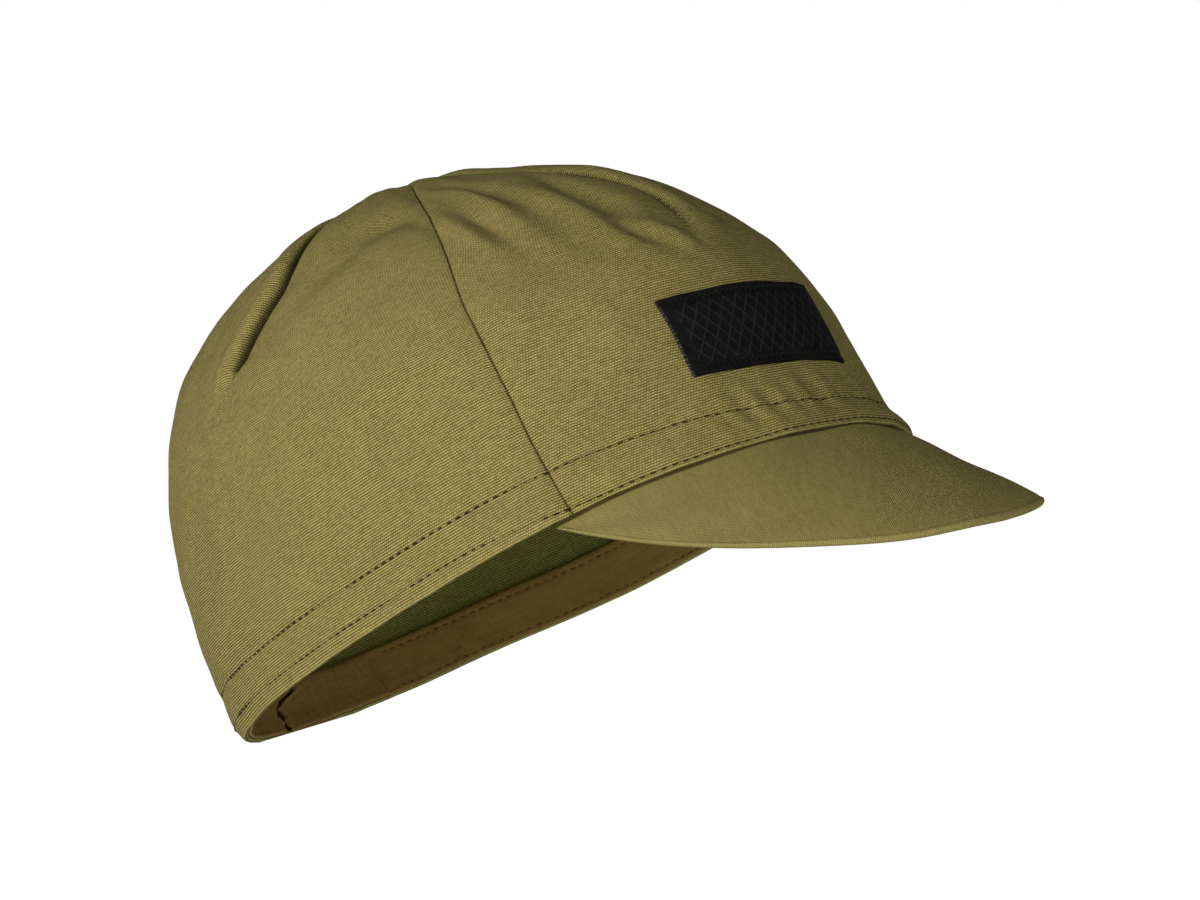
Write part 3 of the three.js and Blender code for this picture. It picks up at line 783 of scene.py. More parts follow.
def sweatband_piece(crown, material):
    """The brown tape inside the rim, from the elastic's one end round the front to the other.

    Its inner face has soft ripples, two sines of the way and the height, a few slanting wrinkles,
    each a bell curve times its distance, and grooves along its stitching.
    """
    sizes = crown.sizes
    end = 180 - ELASTIC_SPREAD - BAND_END
    angle = end * (2 * spread(520, 0.2) - 1)
    angles, height, depth, within = tape_grid(crown, sizes.band_thickness, angle)
    way = crown.way_round(angles)
    ripple = 0.16 * MM * np.sin(2 * np.pi * (way * 83 + height * 21))
    ripple = ripple + 0.12 * MM * np.sin(2 * np.pi * (way * 140 - height * 45 + 0.3))
    rise = height - BAND_FOOT
    for wrinkle in BAND_WRINKLES:
        around = np.radians(angles - wrinkle) * sizes.half_width
        slant = (around + WRINKLE_LEAN * (rise - WRINKLE_HEIGHT)) / WRINKLE_WIDTH
        fade = bell(slant) * bell((rise - WRINKLE_HEIGHT) / WRINKLE_RISE)
        ripple = ripple - WRINKLE_DEPTH * slant * fade
    middle = bell((rise - sizes.band_height / 2) / (sizes.band_height / 2))
    upper = bell((rise - sizes.band_height + BAND_LINE) / (0.7 * MM))
    lower = bell((rise - BAND_SEAM) / (0.6 * MM))
    groove = 0.28 * MM * upper + 0.15 * MM * lower
    inside = np.where(within, (ripple - 0.1 * MM) * middle - groove, 0)
    return tape_mesh("sweatband_tape", crown, angles, height, depth + inside, 0 * way, material)


def elastic_piece(crown, material):
    """The elastic's casing: a tape flush with the sweatband, with shallow gathers on its inside.

    Its cloth is drawn into one deep ragged tuck, a narrow groove whose place wanders with height.
    The tuck's depth also masks the painted shade in it.
    """
    sizes = crown.sizes
    start = 180 - ELASTIC_SPREAD + BAND_END
    angle = np.linspace(start, 360 - start, 521)
    angles, height, depth, within = tape_grid(crown, sizes.elastic_thickness, angle)
    way = crown.way_round(angles)
    wander = 0.9 * MM * np.sin(2 * np.pi * (height * 61 + way * 37))
    gathers = 0.1 * np.cos(2 * np.pi * (way + wander) * 420)
    gathers = gathers + 0.06 * np.cos(2 * np.pi * (way + wander) * 655 + 1.3)
    share = (height - BAND_FOOT) / sizes.band_height
    tuck_angle = sample_straight(TUCK_PATH, share)
    tuck_angle = tuck_angle + 0.16 * np.sin(2 * np.pi * height / (1.7 * MM))
    from_tuck = np.radians(angles - tuck_angle) * sizes.back_reach
    crack_width = 1.0 + 0.45 * np.sin(2 * np.pi * height / (4.3 * MM))
    crack = bell(from_tuck / (crack_width * MM)) * smooth_step(0.9, 0.7, share)
    tuck = 0.7 * bell((from_tuck + 2.4 * MM) / (1.4 * MM)) - 1.4 * crack
    flush = sizes.band_thickness - sizes.elastic_thickness
    depth = depth + np.where(within, (gathers + tuck) * MM + flush, 0)
    # How deep the tuck is, the mask of the painted shade in it
    crack = np.where(within, crack, 0)
    return tape_mesh("elastic_casing", crown, angles, height, depth, crack, material)


def front_angle_across(crown, distance, level):
    """The angle at which the front stands a distance to the side of its middle."""
    half = crown.sizes.half_width * section("side", level)
    power = OVAL_POWER * (1 - level) + level
    share = distance / half
    return np.degrees(np.arcsin(np.sign(share) * np.abs(share) ** (1 / power)))


def label_place(crown, across, up, depth):
    """A place on the label, across and up from its middle in metres, bent with the front."""
    sizes = crown.sizes
    middle = crown.level_of(sizes.label_middle)
    at = np.array([0.0])
    step = 0.02
    low = crown.form(at, at + middle - step)[0]
    high = crown.form(at, at + middle + step)[0]
    rise = np.linalg.norm(high - low) / (2 * step)
    half = sizes.label_width / 2
    side_angle = front_angle_across(crown, half, np.array([middle]))
    bend = crown.form(side_angle, np.array([middle]))[0]
    centre = crown.form(at, np.array([middle]))[0]
    narrowing = bend[0] / np.hypot(bend[0], bend[1] - centre[1])
    cosine = np.cos(sizes.label_turn)
    sine = np.sin(sizes.label_turn)
    level = middle + (across * sine + up * cosine) / rise
    aside = narrowing * (across * cosine - up * sine)
    angle = front_angle_across(crown, sizes.label_shift + aside, level)
    return crown.point(angle, level, depth)


def trellis_relief(across, up, width, height):
    """A pressed trellis: two families of slanting lines inside a plain border.

    The distance to a line is the rest of the place divided by the pitch, so it repeats evenly.
    """
    border = smooth_step(2.6 * MM, 2.9 * MM, width / 2 - np.abs(across))
    border = border * smooth_step(3.0 * MM, 3.3 * MM, height / 2 - np.abs(up))
    line = np.zeros_like(across)
    for lean in (-1, 1):
        cells = (across + lean * TRELLIS_LEAN * up) / TRELLIS_PITCH
        aside = (cells - np.round(cells)) * TRELLIS_PITCH
        line = np.maximum(line, bell(aside / (0.24 * MM)))
    return line * border


def label_piece(crown, material):
    """The label: a sheet with rounded edges and a pressed pattern, bent over the front."""
    sizes = crown.sizes
    width = sizes.label_width
    height = sizes.label_height
    across = width / 2 * (2 * spread(300, 0.25) - 1)
    rise = height / 2 * (1 - 2 * spread(130, 0.25))
    shape = (len(rise), len(across))
    x = np.broadcast_to(across, shape)
    z = np.broadcast_to(rise[:, None], shape)
    edge = np.minimum(width / 2 - np.abs(x), height / 2 - np.abs(z))
    inside = np.clip(1 - edge / LABEL_ROUND, 0, 1)
    rolled = 0.4 * MM * (1 - np.sqrt(1 - inside**2))
    seam = 0.2 * MM * bell((height / 2 - np.abs(z) - LABEL_SEAM) / (0.7 * MM))
    pressed = 0.16 * MM * trellis_relief(x, z, width, height)
    sag = 0.15 * MM * np.sin(2 * np.pi * (x * 41 + z * 23)) * np.clip(edge / (4 * MM), 0, 1)
    top = -sizes.label_thickness + rolled + seam - pressed - sag
    back = np.full(shape, -0.1 * MM)
    places = np.concatenate([
        label_place(crown, x, z, top),
        label_place(crown, x, z, back)[::-1],
    ])
    flat = np.stack([x, z], axis=-1)
    mark = np.stack([pressed / MM, width / 2 - np.abs(x)], axis=-1)
    maps = {
        "weave": np.concatenate([flat, flat[::-1]]),
        "hem": np.concatenate([mark, mark[::-1]]),
    }
    return profile_mesh("label_patch", crown.standing(places), maps, material)


def stitch_mesh(name, starts, ends, outwards, radius, rise, material):
    """Many short threads: tubes from start to end that bow outwards and thin out at both ends.

    A ring's middle is the straight line plus the rise times a half sine. Its points turn round the
    thread's way on two directions square to it.
    """
    rings = 7
    sides = 6
    along = np.linspace(0, 1, rings)[None, :, None]
    swell = np.sin(np.pi * along)
    middle = starts[:, None] * (1 - along) + ends[:, None] * along
    middle = middle + outwards[:, None] * (rise * swell)
    way = unit(ends - starts)[:, None, None]
    out = unit(outwards)[:, None, None]
    side = unit(np.cross(out, way))
    turn = np.linspace(0, 2 * np.pi, sides, endpoint=False)[None, None, :, None]
    thin = radius * (0.55 + 0.45 * np.sqrt(np.clip(swell, 0, 1)))[:, :, None]
    ring = middle[:, :, None] + thin * (np.cos(turn) * side + np.sin(turn) * out)
    count = len(starts)
    index = np.arange(count * rings * sides).reshape(count, rings, sides)
    after = np.roll(index, -1, axis=2)
    walls = np.stack([index[:, :-1], after[:, :-1], after[:, 1:], index[:, 1:]], axis=-1)
    fan = [0, 1, 2, 3], [0, 3, 4, 5]
    caps = [index[:, 0][:, corners[::-1]] for corners in fan]
    caps += [index[:, -1][:, corners] for corners in fan]
    faces = np.concatenate([walls.reshape(-1, 4)] + caps)
    length = np.linalg.norm(ends - starts, axis=-1)[:, None, None]
    u = np.broadcast_to(along[..., 0][..., None] * length[..., :1], index.shape)
    v = np.broadcast_to(turn[..., 0] / (2 * np.pi), index.shape)
    maps = {"weave": np.stack([u, v], axis=-1)}
    return place_mesh(name, ring.reshape(-1, 3), faces, maps, material)


def stitch_line(place, count, pitch):
    """Starts, ends and outward directions of stitches along a line given by its way in metres."""
    holes = np.arange(count) * pitch
    starts = place(holes + STITCH_GAP, 0.0)
    ends = place(holes + pitch - STITCH_GAP, 0.0)
    middle = holes + pitch / 2
    outwards = place(middle, 1 * MM) - place(middle, 0.0)
    return starts, ends, unit(outwards)


def hem_stitches(crown, material):
    """Two lines of thread round the outside of the hem, at the pitch of the needle holes."""
    stitches = bpy.context.scene.cap_stitches
    count = int(crown.rim_way[-1] / stitches.pitch)
    lines = []
    for upper in (True, False):

        def place(way, lift, upper=upper):
            angle = crown.angle_at(way)
            height = crown.upper_line(angle) if upper else crown.lower_line(angle)
            points = crown.point(angle, crown.level_of(height), HEM_THREAD_DEPTH - lift)
            return crown.standing(points)

        lines.append(stitch_line(place, count, stitches.pitch))
    starts, ends, outwards = [np.concatenate(part) for part in zip(*lines)]
    radius = stitches.thread / 2
    return stitch_mesh("hem_stitches", starts, ends, outwards, radius, THREAD_BOW, material)


def band_stitches(crown, material):
    """Two lines of thread along the inner face of the sweatband, near its foot and its top."""
    stitches = bpy.context.scene.cap_stitches
    sizes = crown.sizes
    begin = crown.way_round(np.array([ELASTIC_SPREAD - 178.0]))[0]
    count = int((crown.rim_way[-1] - 2 * begin) / stitches.pitch)
    depth = sizes.cloth + GAP + sizes.band_thickness - BAND_THREAD_RISE
    lines = []
    for height in (BAND_FOOT + BAND_SEAM, BAND_FOOT + sizes.band_height - BAND_LINE):

        def place(way, lift, height=height):
            level = np.full_like(way, crown.level_of(height))
            angle = crown.angle_at(way + begin)
            return crown.standing(crown.point(angle, level, depth + lift))

        lines.append(stitch_line(place, count, stitches.pitch))
    starts, ends, outwards = [np.concatenate(part) for part in zip(*lines)]
    radius = stitches.thread / 2
    return stitch_mesh("band_stitches", starts, ends, outwards, radius, THREAD_BOW, material)


def label_stitches(crown, material):
    """A zigzag of black thread along the label's upper and lower edge."""
    sizes = crown.sizes
    pitch = 0.8 * MM
    swing = 0.6 * MM
    radius = 0.16 * MM
    bow = 0.12 * MM
    reach = sizes.label_width / 2 - 1.8 * MM
    count = int(2 * reach / pitch)
    across = -reach + np.arange(count + 1) * pitch
    zigzag = swing * (np.arange(count + 1) % 2 - 0.5) * 2
    lines = []
    for side in (1, -1):
        up = side * (sizes.label_height / 2 - LABEL_SEAM) + zigzag
        knots = crown.standing(label_place(crown, across, up, -sizes.label_thickness))
        lifted = crown.standing(label_place(crown, across, up, -sizes.label_thickness - 1 * MM))
        outwards = unit(lifted - knots)
        lines.append((knots[:-1], knots[1:], outwards[:-1]))
    starts, ends, outwards = [np.concatenate(part) for part in zip(*lines)]
    return stitch_mesh("label_stitches", starts, ends, outwards, radius, bow, material)


class Graph:
    """A short way to write a material's nodes."""

    def __init__(self, name):
        self.material = bpy.data.materials.new(name)
        self.material.use_nodes = True
        self.nodes = self.material.node_tree.nodes
        self.links = self.material.node_tree.links
        self.shader = self.nodes["Principled BSDF"]

    def connect(self, value, socket):
        """Links a node's output to a socket, or sets the socket to a number or colour."""
        if isinstance(value, bpy.types.NodeSocket):
            self.links.new(value, socket)
        else:
            socket.default_value = value

    def node(self, kind, output=0, settings=None, **inputs):
        """A node with its settings and inputs, and the output that is asked for."""
        made = self.nodes.new(kind)
        for key, value in (settings or {}).items():
            setattr(made, key, value)
        for key, value in inputs.items():
            numbered = key[0] == "i" and key[1:].isdigit()
            self.connect(value, made.inputs[int(key[1:]) if numbered else key])
        return made.outputs[output]

    def math(self, operation, first, second=0.0, third=0.0):
        """A sum or other operation on numbers."""
        settings = {"operation": operation}
        return self.node("ShaderNodeMath", settings=settings, i0=first, i1=second, i2=third)

    def ramp(self, value, low, high, start=0.0, end=1.0):
        """A smooth rise from start to end as the value goes from low to high."""
        settings = {"interpolation_type": "SMOOTHSTEP"}
        return self.node("ShaderNodeMapRange", settings=settings,
                         i0=value, i1=low, i2=high, i3=start, i4=end)

    def blend(self, share, first, second, way="MIX"):
        """A mix of two colours."""
        made = self.nodes.new("ShaderNodeMix")
        made.data_type = "RGBA"
        made.blend_type = way
        self.connect(share, made.inputs[0])
        self.connect(first, made.inputs[6])
        self.connect(second, made.inputs[7])
        return made.outputs[2]

    def map_uv(self, name):
        """The two values of one of the piece's own maps."""
        vector = self.node("ShaderNodeUVMap", settings={"uv_map": name})
        made = self.nodes.new("ShaderNodeSeparateXYZ")
        self.links.new(vector, made.inputs[0])
        return vector, made.outputs[0], made.outputs[1]

    def noise(self, vector, scale, detail=2.0, roughness=0.5):
        """Soft random values from 0 to 1."""
        return self.node("ShaderNodeTexNoise", Vector=vector, Scale=scale, Detail=detail,
                         Roughness=roughness)

    def stretched(self, vector, scale):
        """A vector stretched along its axes."""
        settings = {"operation": "MULTIPLY"}
        return self.node("ShaderNodeVectorMath", settings=settings, i0=vector, i1=scale)

    def finish(self, color, height, distance, roughness, sheen, sheen_color):
        """Colour, bump, roughness and sheen on the shader."""
        self.connect(color, self.shader.inputs["Base Color"])
        self.connect(roughness, self.shader.inputs["Roughness"])
        self.shader.inputs["Specular IOR Level"].default_value = 0.05
        self.shader.inputs["Sheen Weight"].default_value = sheen
        self.shader.inputs["Sheen Roughness"].default_value = 0.45
        self.shader.inputs["Sheen Tint"].default_value = (*sheen_color, 1)
        bump = self.nodes.new("ShaderNodeBump")
        bump.inputs["Strength"].default_value = 0.8
        bump.inputs["Distance"].default_value = distance
        self.connect(height, bump.inputs["Height"])
        self.links.new(bump.outputs[0], self.shader.inputs["Normal"])
        return self.material


def weave_height(graph, u, v, vector, bead, row):
    """A plain weave's height: each row is a half sine, and its beads are offset from the next row.

    Every bead and every row has its own random strength, so that the yarns look spun.
    """
    sway = graph.noise(vector, 90.0, 2.0)
    sway = graph.math("MULTIPLY_ADD", sway, 0.6, -0.3)
    rows = graph.math("MULTIPLY_ADD", v, 1 / row, sway)
    number = graph.math("FLOOR", rows)
    inside = graph.math("FRACT", rows)
    ridge = graph.math("SINE", graph.math("MULTIPLY", inside, np.pi))
    beads = graph.math("MULTIPLY_ADD", u, 1 / bead, graph.math("MULTIPLY", sway, 0.8))
    beads = graph.math("MULTIPLY_ADD", number, 0.5, beads)
    wave = graph.math("COSINE", graph.math("MULTIPLY", beads, 2 * np.pi))
    wave = graph.math("MULTIPLY_ADD", wave, 0.26, 0.74)
    place = graph.node("ShaderNodeCombineXYZ", X=graph.math("ROUND", beads), Y=number)
    flat = {"noise_dimensions": "2D"}
    chance = graph.node("ShaderNodeTexWhiteNoise", settings=flat, Vector=place)
    chance = graph.math("MULTIPLY_ADD", chance, 0.5, 0.72)
    return graph.math("MULTIPLY", graph.math("MULTIPLY", ridge, wave), chance)


def tint(color, scale):
    """A colour times a number, with its alpha."""
    return (*[min(c * scale, 1) for c in color], 1)


def tape_painted_tuck_shade(graph, color, _, painted_shade):
    """Painted shade in the deep tuck of the elastic's casing."""
    tuck = graph.map_uv("tuck")[1]
    return graph.blend(graph.ramp(tuck, 0.15, 0.6, 0.0, 0.92), color, tint(painted_shade, 0.06))


def brim_edge_and_painted_shade(graph, color, light, painted_shade):
    """The brim's paler strip along its edge, painted shade in the groove inside it, and painted
    shade at its root under the hem.
    """
    _, outward, inward = graph.map_uv("hem")
    # A paler strip along the edge
    edge = graph.ramp(inward, 0.9 * MM, 1.5 * MM, 0.16, 0.0)
    color = graph.blend(edge, color, tint(light, 1.7))
    # Painted shade in the groove inside the edge and at the root under the hem
    groove = graph.math("ABSOLUTE", graph.math("SUBTRACT", inward, BRIM_GROOVE))
    groove = graph.ramp(groove, 0.1 * MM, 0.5 * MM, 0.2, 0.0)
    root = graph.ramp(outward, 0.1 * MM, 0.9 * MM, 0.9, 0.0)
    return graph.blend(graph.math("MAXIMUM", groove, root), color, tint(painted_shade, 0.4))


def crown_painted_shade_and_tints(graph, color, light, painted_shade):
    """The crown's painted shade in its needle holes, stitch grooves and creases, a greener tint on
    its inside face, and a paler strip along its hem's bottom edge.

    A needle hole is a spot round each whole number of stitch pitches along a line, a little
    longer than it is high.
    """
    pitch = bpy.context.scene.cap_stitches.pitch
    _, way, rise = graph.map_uv("hem")
    _, lower, upper = graph.map_uv("line")
    turn = graph.math("MULTIPLY", way, 1 / pitch)
    off = graph.math("SUBTRACT", turn, graph.math("ROUND", turn))
    off = graph.math("MULTIPLY", off, pitch * 0.75)
    # Painted shade: dark spots in the needle holes and dark lines in the stitch grooves
    painted_stitch_shade = 0.0
    for above in (lower, upper):
        near = graph.math("MULTIPLY", off, off)
        near = graph.math("ADD", near, graph.math("MULTIPLY", above, above))
        spot = graph.ramp(graph.math("SQRT", near), 0.12 * MM, 0.45 * MM, 0.45, 0.0)
        groove = graph.ramp(graph.math("ABSOLUTE", above), 0.1 * MM, 0.5 * MM, 0.16, 0.0)
        spot = graph.math("MAXIMUM", spot, groove)
        painted_stitch_shade = graph.math("MAXIMUM", spot, painted_stitch_shade)
    color = graph.blend(painted_stitch_shade, color, tint(painted_shade, 0.12))
    # Painted shade: dark lines along the seams and darts, where their creases lie in shade
    _, seam, dart = graph.map_uv("crease")
    seam = graph.ramp(seam, 0.3, 1.0, 0.0, 0.3)
    dart = graph.ramp(dart, 0.15, 0.9, 0.0, 0.9)
    color = graph.blend(graph.math("MAXIMUM", seam, dart), color, tint(painted_shade, 0.1))
    # A greener, slightly lighter tint on the inside face of the cloth
    _, within, _ = graph.map_uv("side")
    lining = graph.ramp(within, 0.4, 0.9)
    color = graph.blend(lining, color, (1.1, 1.35, 1.2, 1), "MULTIPLY")
    # A paler strip along the hem's bottom edge
    paler_hem_edge = graph.ramp(rise, 0.2 * MM, 1.6 * MM, 0.16, 0.0)
    return graph.blend(paler_hem_edge, color, tint(light, 1.5))


def canvas_material(name, light, painted_shade, marks, contrast=(0.0, 1.0), fineness=1.0):
    """Plain-woven cotton with uneven yarns and painted shade in the hollows of its weave, and the
    painted shade and tints of its piece on top.

    The contrast is the share of the light yarn's colour in the hollows and on the beads.
    """
    cloth = bpy.context.scene.cap_cloth
    graph = Graph(name)
    vector, u, v = graph.map_uv("weave")
    bead = cloth.bead_pitch * fineness
    row = cloth.row_pitch * fineness
    height = weave_height(graph, u, v, vector, bead, row)
    slub = graph.noise(graph.stretched(vector, (130.0, 1100.0, 1.0)), 1.0, 1.0)
    patch = graph.noise(vector, 45.0, 3.0)
    # Painted shade: the weave's hollows take the darker colour, for the shadow that the bump
    # leaves out
    tone = graph.ramp(height, 0.05, 0.8, *contrast)
    color = graph.blend(tone, (*painted_shade, 1), (*light, 1))
    grey = graph.math("MULTIPLY_ADD", slub, 0.34, 0.83)
    grey = graph.math("MULTIPLY", grey, graph.math("MULTIPLY_ADD", patch, 0.2, 0.9))
    made = graph.nodes.new("ShaderNodeCombineColor")
    for socket in made.inputs[:3]:
        graph.links.new(grey, socket)
    color = graph.blend(1.0, color, made.outputs[0], "MULTIPLY")
    color = marks(graph, color, light, painted_shade)
    fuzz = graph.noise(vector, 2600.0, 2.0)
    bump = graph.math("MULTIPLY_ADD", fuzz, 0.35, height)
    roughness = graph.math("MULTIPLY_ADD", slub, 0.12, 0.84)
    return graph.finish(color, bump, 0.22 * MM * fineness, roughness, 0.02, (0.75, 0.72, 0.5))


def thread_material(name, color, twist):
    """Sewing thread: a fine twist round each stitch, a sine of the way along it and round it."""
    graph = Graph(name)
    _, u, v = graph.map_uv("weave")
    turn = graph.math("MULTIPLY_ADD", u, 1 / twist, v)
    wave = graph.math("SINE", graph.math("MULTIPLY", turn, 2 * np.pi))
    tone = graph.ramp(wave, -1.0, 1.0)
    shade = graph.blend(tone, tint(color, 0.6), (*color, 1))
    coordinate = graph.node("ShaderNodeTexCoord", output=3)
    roughness = graph.math("MULTIPLY_ADD", graph.noise(coordinate, 900.0), 0.3, 0.5)
    return graph.finish(shade, wave, 0.05 * MM, roughness, 0.1, (0.8, 0.8, 0.7))


def label_material(name, color):
    """Black woven label: a fine rib, a pressed pattern whose faint shine is partly painted
    highlight, and a frayed edge whose pale fibres are partly painted glints.
    """
    graph = Graph(name)
    vector, u, v = graph.map_uv("weave")
    _, pressed, edge = graph.map_uv("hem")
    rib = graph.math("SINE", graph.math("MULTIPLY", v, 2 * np.pi / (0.42 * MM)))
    cross = graph.math("SINE", graph.math("MULTIPLY", u, 2 * np.pi / (0.5 * MM)))
    weave = graph.math("MULTIPLY_ADD", cross, 0.4, rib)
    patch = graph.noise(vector, 300.0, 3.0)
    tone = graph.math("ADD", graph.math("MULTIPLY", weave, 0.12), patch)
    shade = graph.blend(graph.ramp(tone, 0.2, 0.9), tint(color, 0.6), tint(color, 1.6))
    # Painted highlight: the pressed lines are painted lighter for their shine, beside their lower
    # roughness
    line = graph.ramp(pressed, 0.03, 0.14, 0.0, 0.55)
    shade = graph.blend(line, shade, (0.036, 0.036, 0.031, 1))
    # Pale fibres at the frayed edge, partly painted glints along its fold
    fray = graph.noise(graph.stretched(vector, (900.0, 2200.0, 1.0)), 1.0, 3.0)
    rim = graph.ramp(edge, 0.05 * MM, 0.5 * MM, 1.0, 0.0)
    rim = graph.math("MULTIPLY", rim, graph.ramp(fray, 0.45, 0.7))
    shade = graph.blend(graph.math("MULTIPLY", rim, 0.7), shade, (0.2, 0.2, 0.19, 1))
    roughness = graph.ramp(pressed, 0.0, 0.14, 0.72, 0.45)
    return graph.finish(shade, weave, 0.05 * MM, roughness, 0.0, (0.5, 0.5, 0.5))


def floor_material(color, glow, bounce):
    """A plain pale ground with the faintest mottling.

    The camera sees it shine by itself, and the cap gets a weaker light from it.
    """
    graph = Graph("pale_ground")
    coordinate = graph.node("ShaderNodeTexCoord", output=3)
    patch = graph.noise(coordinate, 3.0, 2.0)
    shade = graph.blend(graph.ramp(patch, 0.2, 0.8), tint(color, 0.97), (*color, 1))
    graph.connect(shade, graph.shader.inputs["Base Color"])
    graph.shader.inputs["Emission Color"].default_value = (1, 1, 1, 1)
    seen = graph.node("ShaderNodeLightPath")
    shine = graph.math("MULTIPLY_ADD", seen, glow - bounce, bounce)
    graph.connect(shine, graph.shader.inputs["Emission Strength"])
    graph.shader.inputs["Roughness"].default_value = 0.9
    return graph.material


def colour_prop(name, description, default):
    """A colour that a user may change."""
    return bpy.props.FloatVectorProperty(
        name=name, description=description, default=default, subtype="COLOR", min=0, max=1
    )


def length_prop(name, description, default):
    """A length that a user may change."""
    return bpy.props.FloatProperty(
        name=name, description=description, default=default, unit="LENGTH", precision=4
    )


class CapSizes(bpy.types.PropertyGroup):
    """Sizes of the crown, the brim, the tapes and the label."""

    front_reach: length_prop("Front reach", "Middle of the rim to its front", 98 * MM)
    back_reach: length_prop("Back reach", "Middle of the rim to its back", 98.5 * MM)
    half_width: length_prop("Half width", "Middle of the rim to its side", 76.5 * MM)
    crown_height: length_prop("Crown height", "Rim to top", 105.5 * MM)
    cloth: length_prop("Cloth", "Thickness of the crown's wall", 1.4 * MM)
    hem: length_prop("Hem", "Thickness of the folded hem", 1.6 * MM)
    stitch_height: length_prop("Stitch height", "Upper stitching above the rim", 12.5 * MM)
    brim_length: length_prop("Brim length", "Length of the brim at its middle", 53 * MM)
    brim_thickness: length_prop("Brim thickness", "Thickness of the covered brim", 1.9 * MM)
    brim_spread: bpy.props.FloatProperty(
        name="Brim spread", description="Turn from the front to an end of the brim",
        default=np.radians(55), subtype="ANGLE",
    )
    brim_droop: bpy.props.FloatProperty(
        name="Brim droop", description="Slope of the brim below level at its middle",
        default=np.radians(49), subtype="ANGLE",
    )
    band_height: length_prop("Sweatband height", "Height of the sweatband", 13.6 * MM)
    band_thickness: length_prop("Sweatband thickness", "Thickness of the sweatband", 1.2 * MM)
    elastic_thickness: length_prop("Elastic thickness", "Thickness of the casing", 1.8 * MM)
    label_width: length_prop("Label width", "Width along its bend", 51 * MM)
    label_height: length_prop("Label height", "Height of the label", 22 * MM)
    label_thickness: length_prop("Label thickness", "Its face over the crown's cloth", 0.9 * MM)
    label_middle: length_prop("Label middle", "Height of its middle above the rim", 26.8 * MM)
    label_shift: length_prop("Label shift", "Sideways from the middle of the front", -4.5 * MM)
    label_turn: bpy.props.FloatProperty(
        name="Label turn", description="Turn of the label on the cloth",
        default=np.radians(-3.8), subtype="ANGLE",
    )


class CapStitches(bpy.types.PropertyGroup):
    """Sizes and colours of the stitching."""

    pitch: length_prop("Pitch", "From one needle hole to the next", 2.75 * MM)
    lower_height: length_prop("Lower line", "Lower stitching above the rim", 3.9 * MM)
    front_height: length_prop("Front line", "Lower stitching above the brim", 1.1 * MM)
    thread: length_prop("Thread", "Thickness of the thread", 0.46 * MM)
    # Near black: the hem thread's colour, partly painted shade of the needle holes and its groove
    hem_thread_and_shade: colour_prop("Thread", "Thread of the hem", (0.035, 0.023, 0.006))
    band_thread: colour_prop("Band thread", "Thread of the sweatband", (0.2, 0.13, 0.04))
    label_thread: colour_prop("Label thread", "Thread of the label", (0.012, 0.012, 0.012))


class CapCloth(bpy.types.PropertyGroup):
    """Colours and pitches of the cloth."""

    bead_pitch: length_prop("Bead pitch", "Pitch of the weave along a row", 0.74 * MM)
    row_pitch: length_prop("Row pitch", "Pitch of the weave's rows", 0.66 * MM)
    light: colour_prop("Canvas", "Raised yarn of the olive canvas", (0.41, 0.347, 0.12))
    # Painted shade: the darker colour of the canvas's weave hollows, standing in for their shadow
    painted_shade: colour_prop("Canvas shade", "Hollows of the olive canvas", (0.09, 0.067, 0.012))
    band_light: colour_prop("Band", "Raised yarn of the brown tape", (0.5, 0.335, 0.105))
    # Painted shade: the darker colour of the tape's weave hollows, standing in for their shadow
    band_painted_shade: colour_prop("Band shade", "Hollows of the brown tape", (0.25, 0.155, 0.042))
    label: colour_prop("Label", "Ground of the label", (0.009, 0.009, 0.0085))


class CapStage(bpy.types.PropertyGroup):
    """The ground, the lights and the camera."""

    ground: colour_prop("Ground", "Colour of the ground", (0.3, 0.3, 0.3))
    glow: bpy.props.FloatProperty(
        name="Glow", description="How much the ground shines to the camera", default=0.96, min=0
    )
    bounce: bpy.props.FloatProperty(
        name="Bounce", description="How much the ground shines on the cap", default=0.34, min=0
    )
    key_power: bpy.props.FloatProperty(
        name="Key light", description="Power of the large soft light", default=34.0, min=0,
        unit="POWER",
    )
    fill_power: bpy.props.FloatProperty(
        name="Fill light", description="Power of the light from the camera's right", default=5.0,
        min=0, unit="POWER",
    )
    sky: bpy.props.FloatProperty(
        name="Sky", description="Light from overhead", default=0.06, min=0
    )
    surround: bpy.props.FloatProperty(
        name="Surround", description="Light from the sides", default=0.3, min=0
    )
    azimuth: bpy.props.FloatProperty(
        name="Azimuth", description="Turn of the camera about the rim's axis",
        default=np.radians(-50), subtype="ANGLE",
    )
    elevation: bpy.props.FloatProperty(
        name="Elevation", description="Rise of the camera over the rim's plane",
        default=np.radians(-8.95), subtype="ANGLE",
    )
    roll: bpy.props.FloatProperty(
        name="Roll", description="Turn of the camera about its own axis",
        default=np.radians(-25.35), subtype="ANGLE",
    )
    distance: length_prop("Distance", "Camera to the middle of the rim", 1.5)


def olive_canvas(name, marks, contrast=(0.0, 1.0)):
    """The olive canvas under a piece's name."""
    cloth = bpy.context.scene.cap_cloth
    return canvas_material(name, tuple(cloth.light), tuple(cloth.painted_shade), marks, contrast)


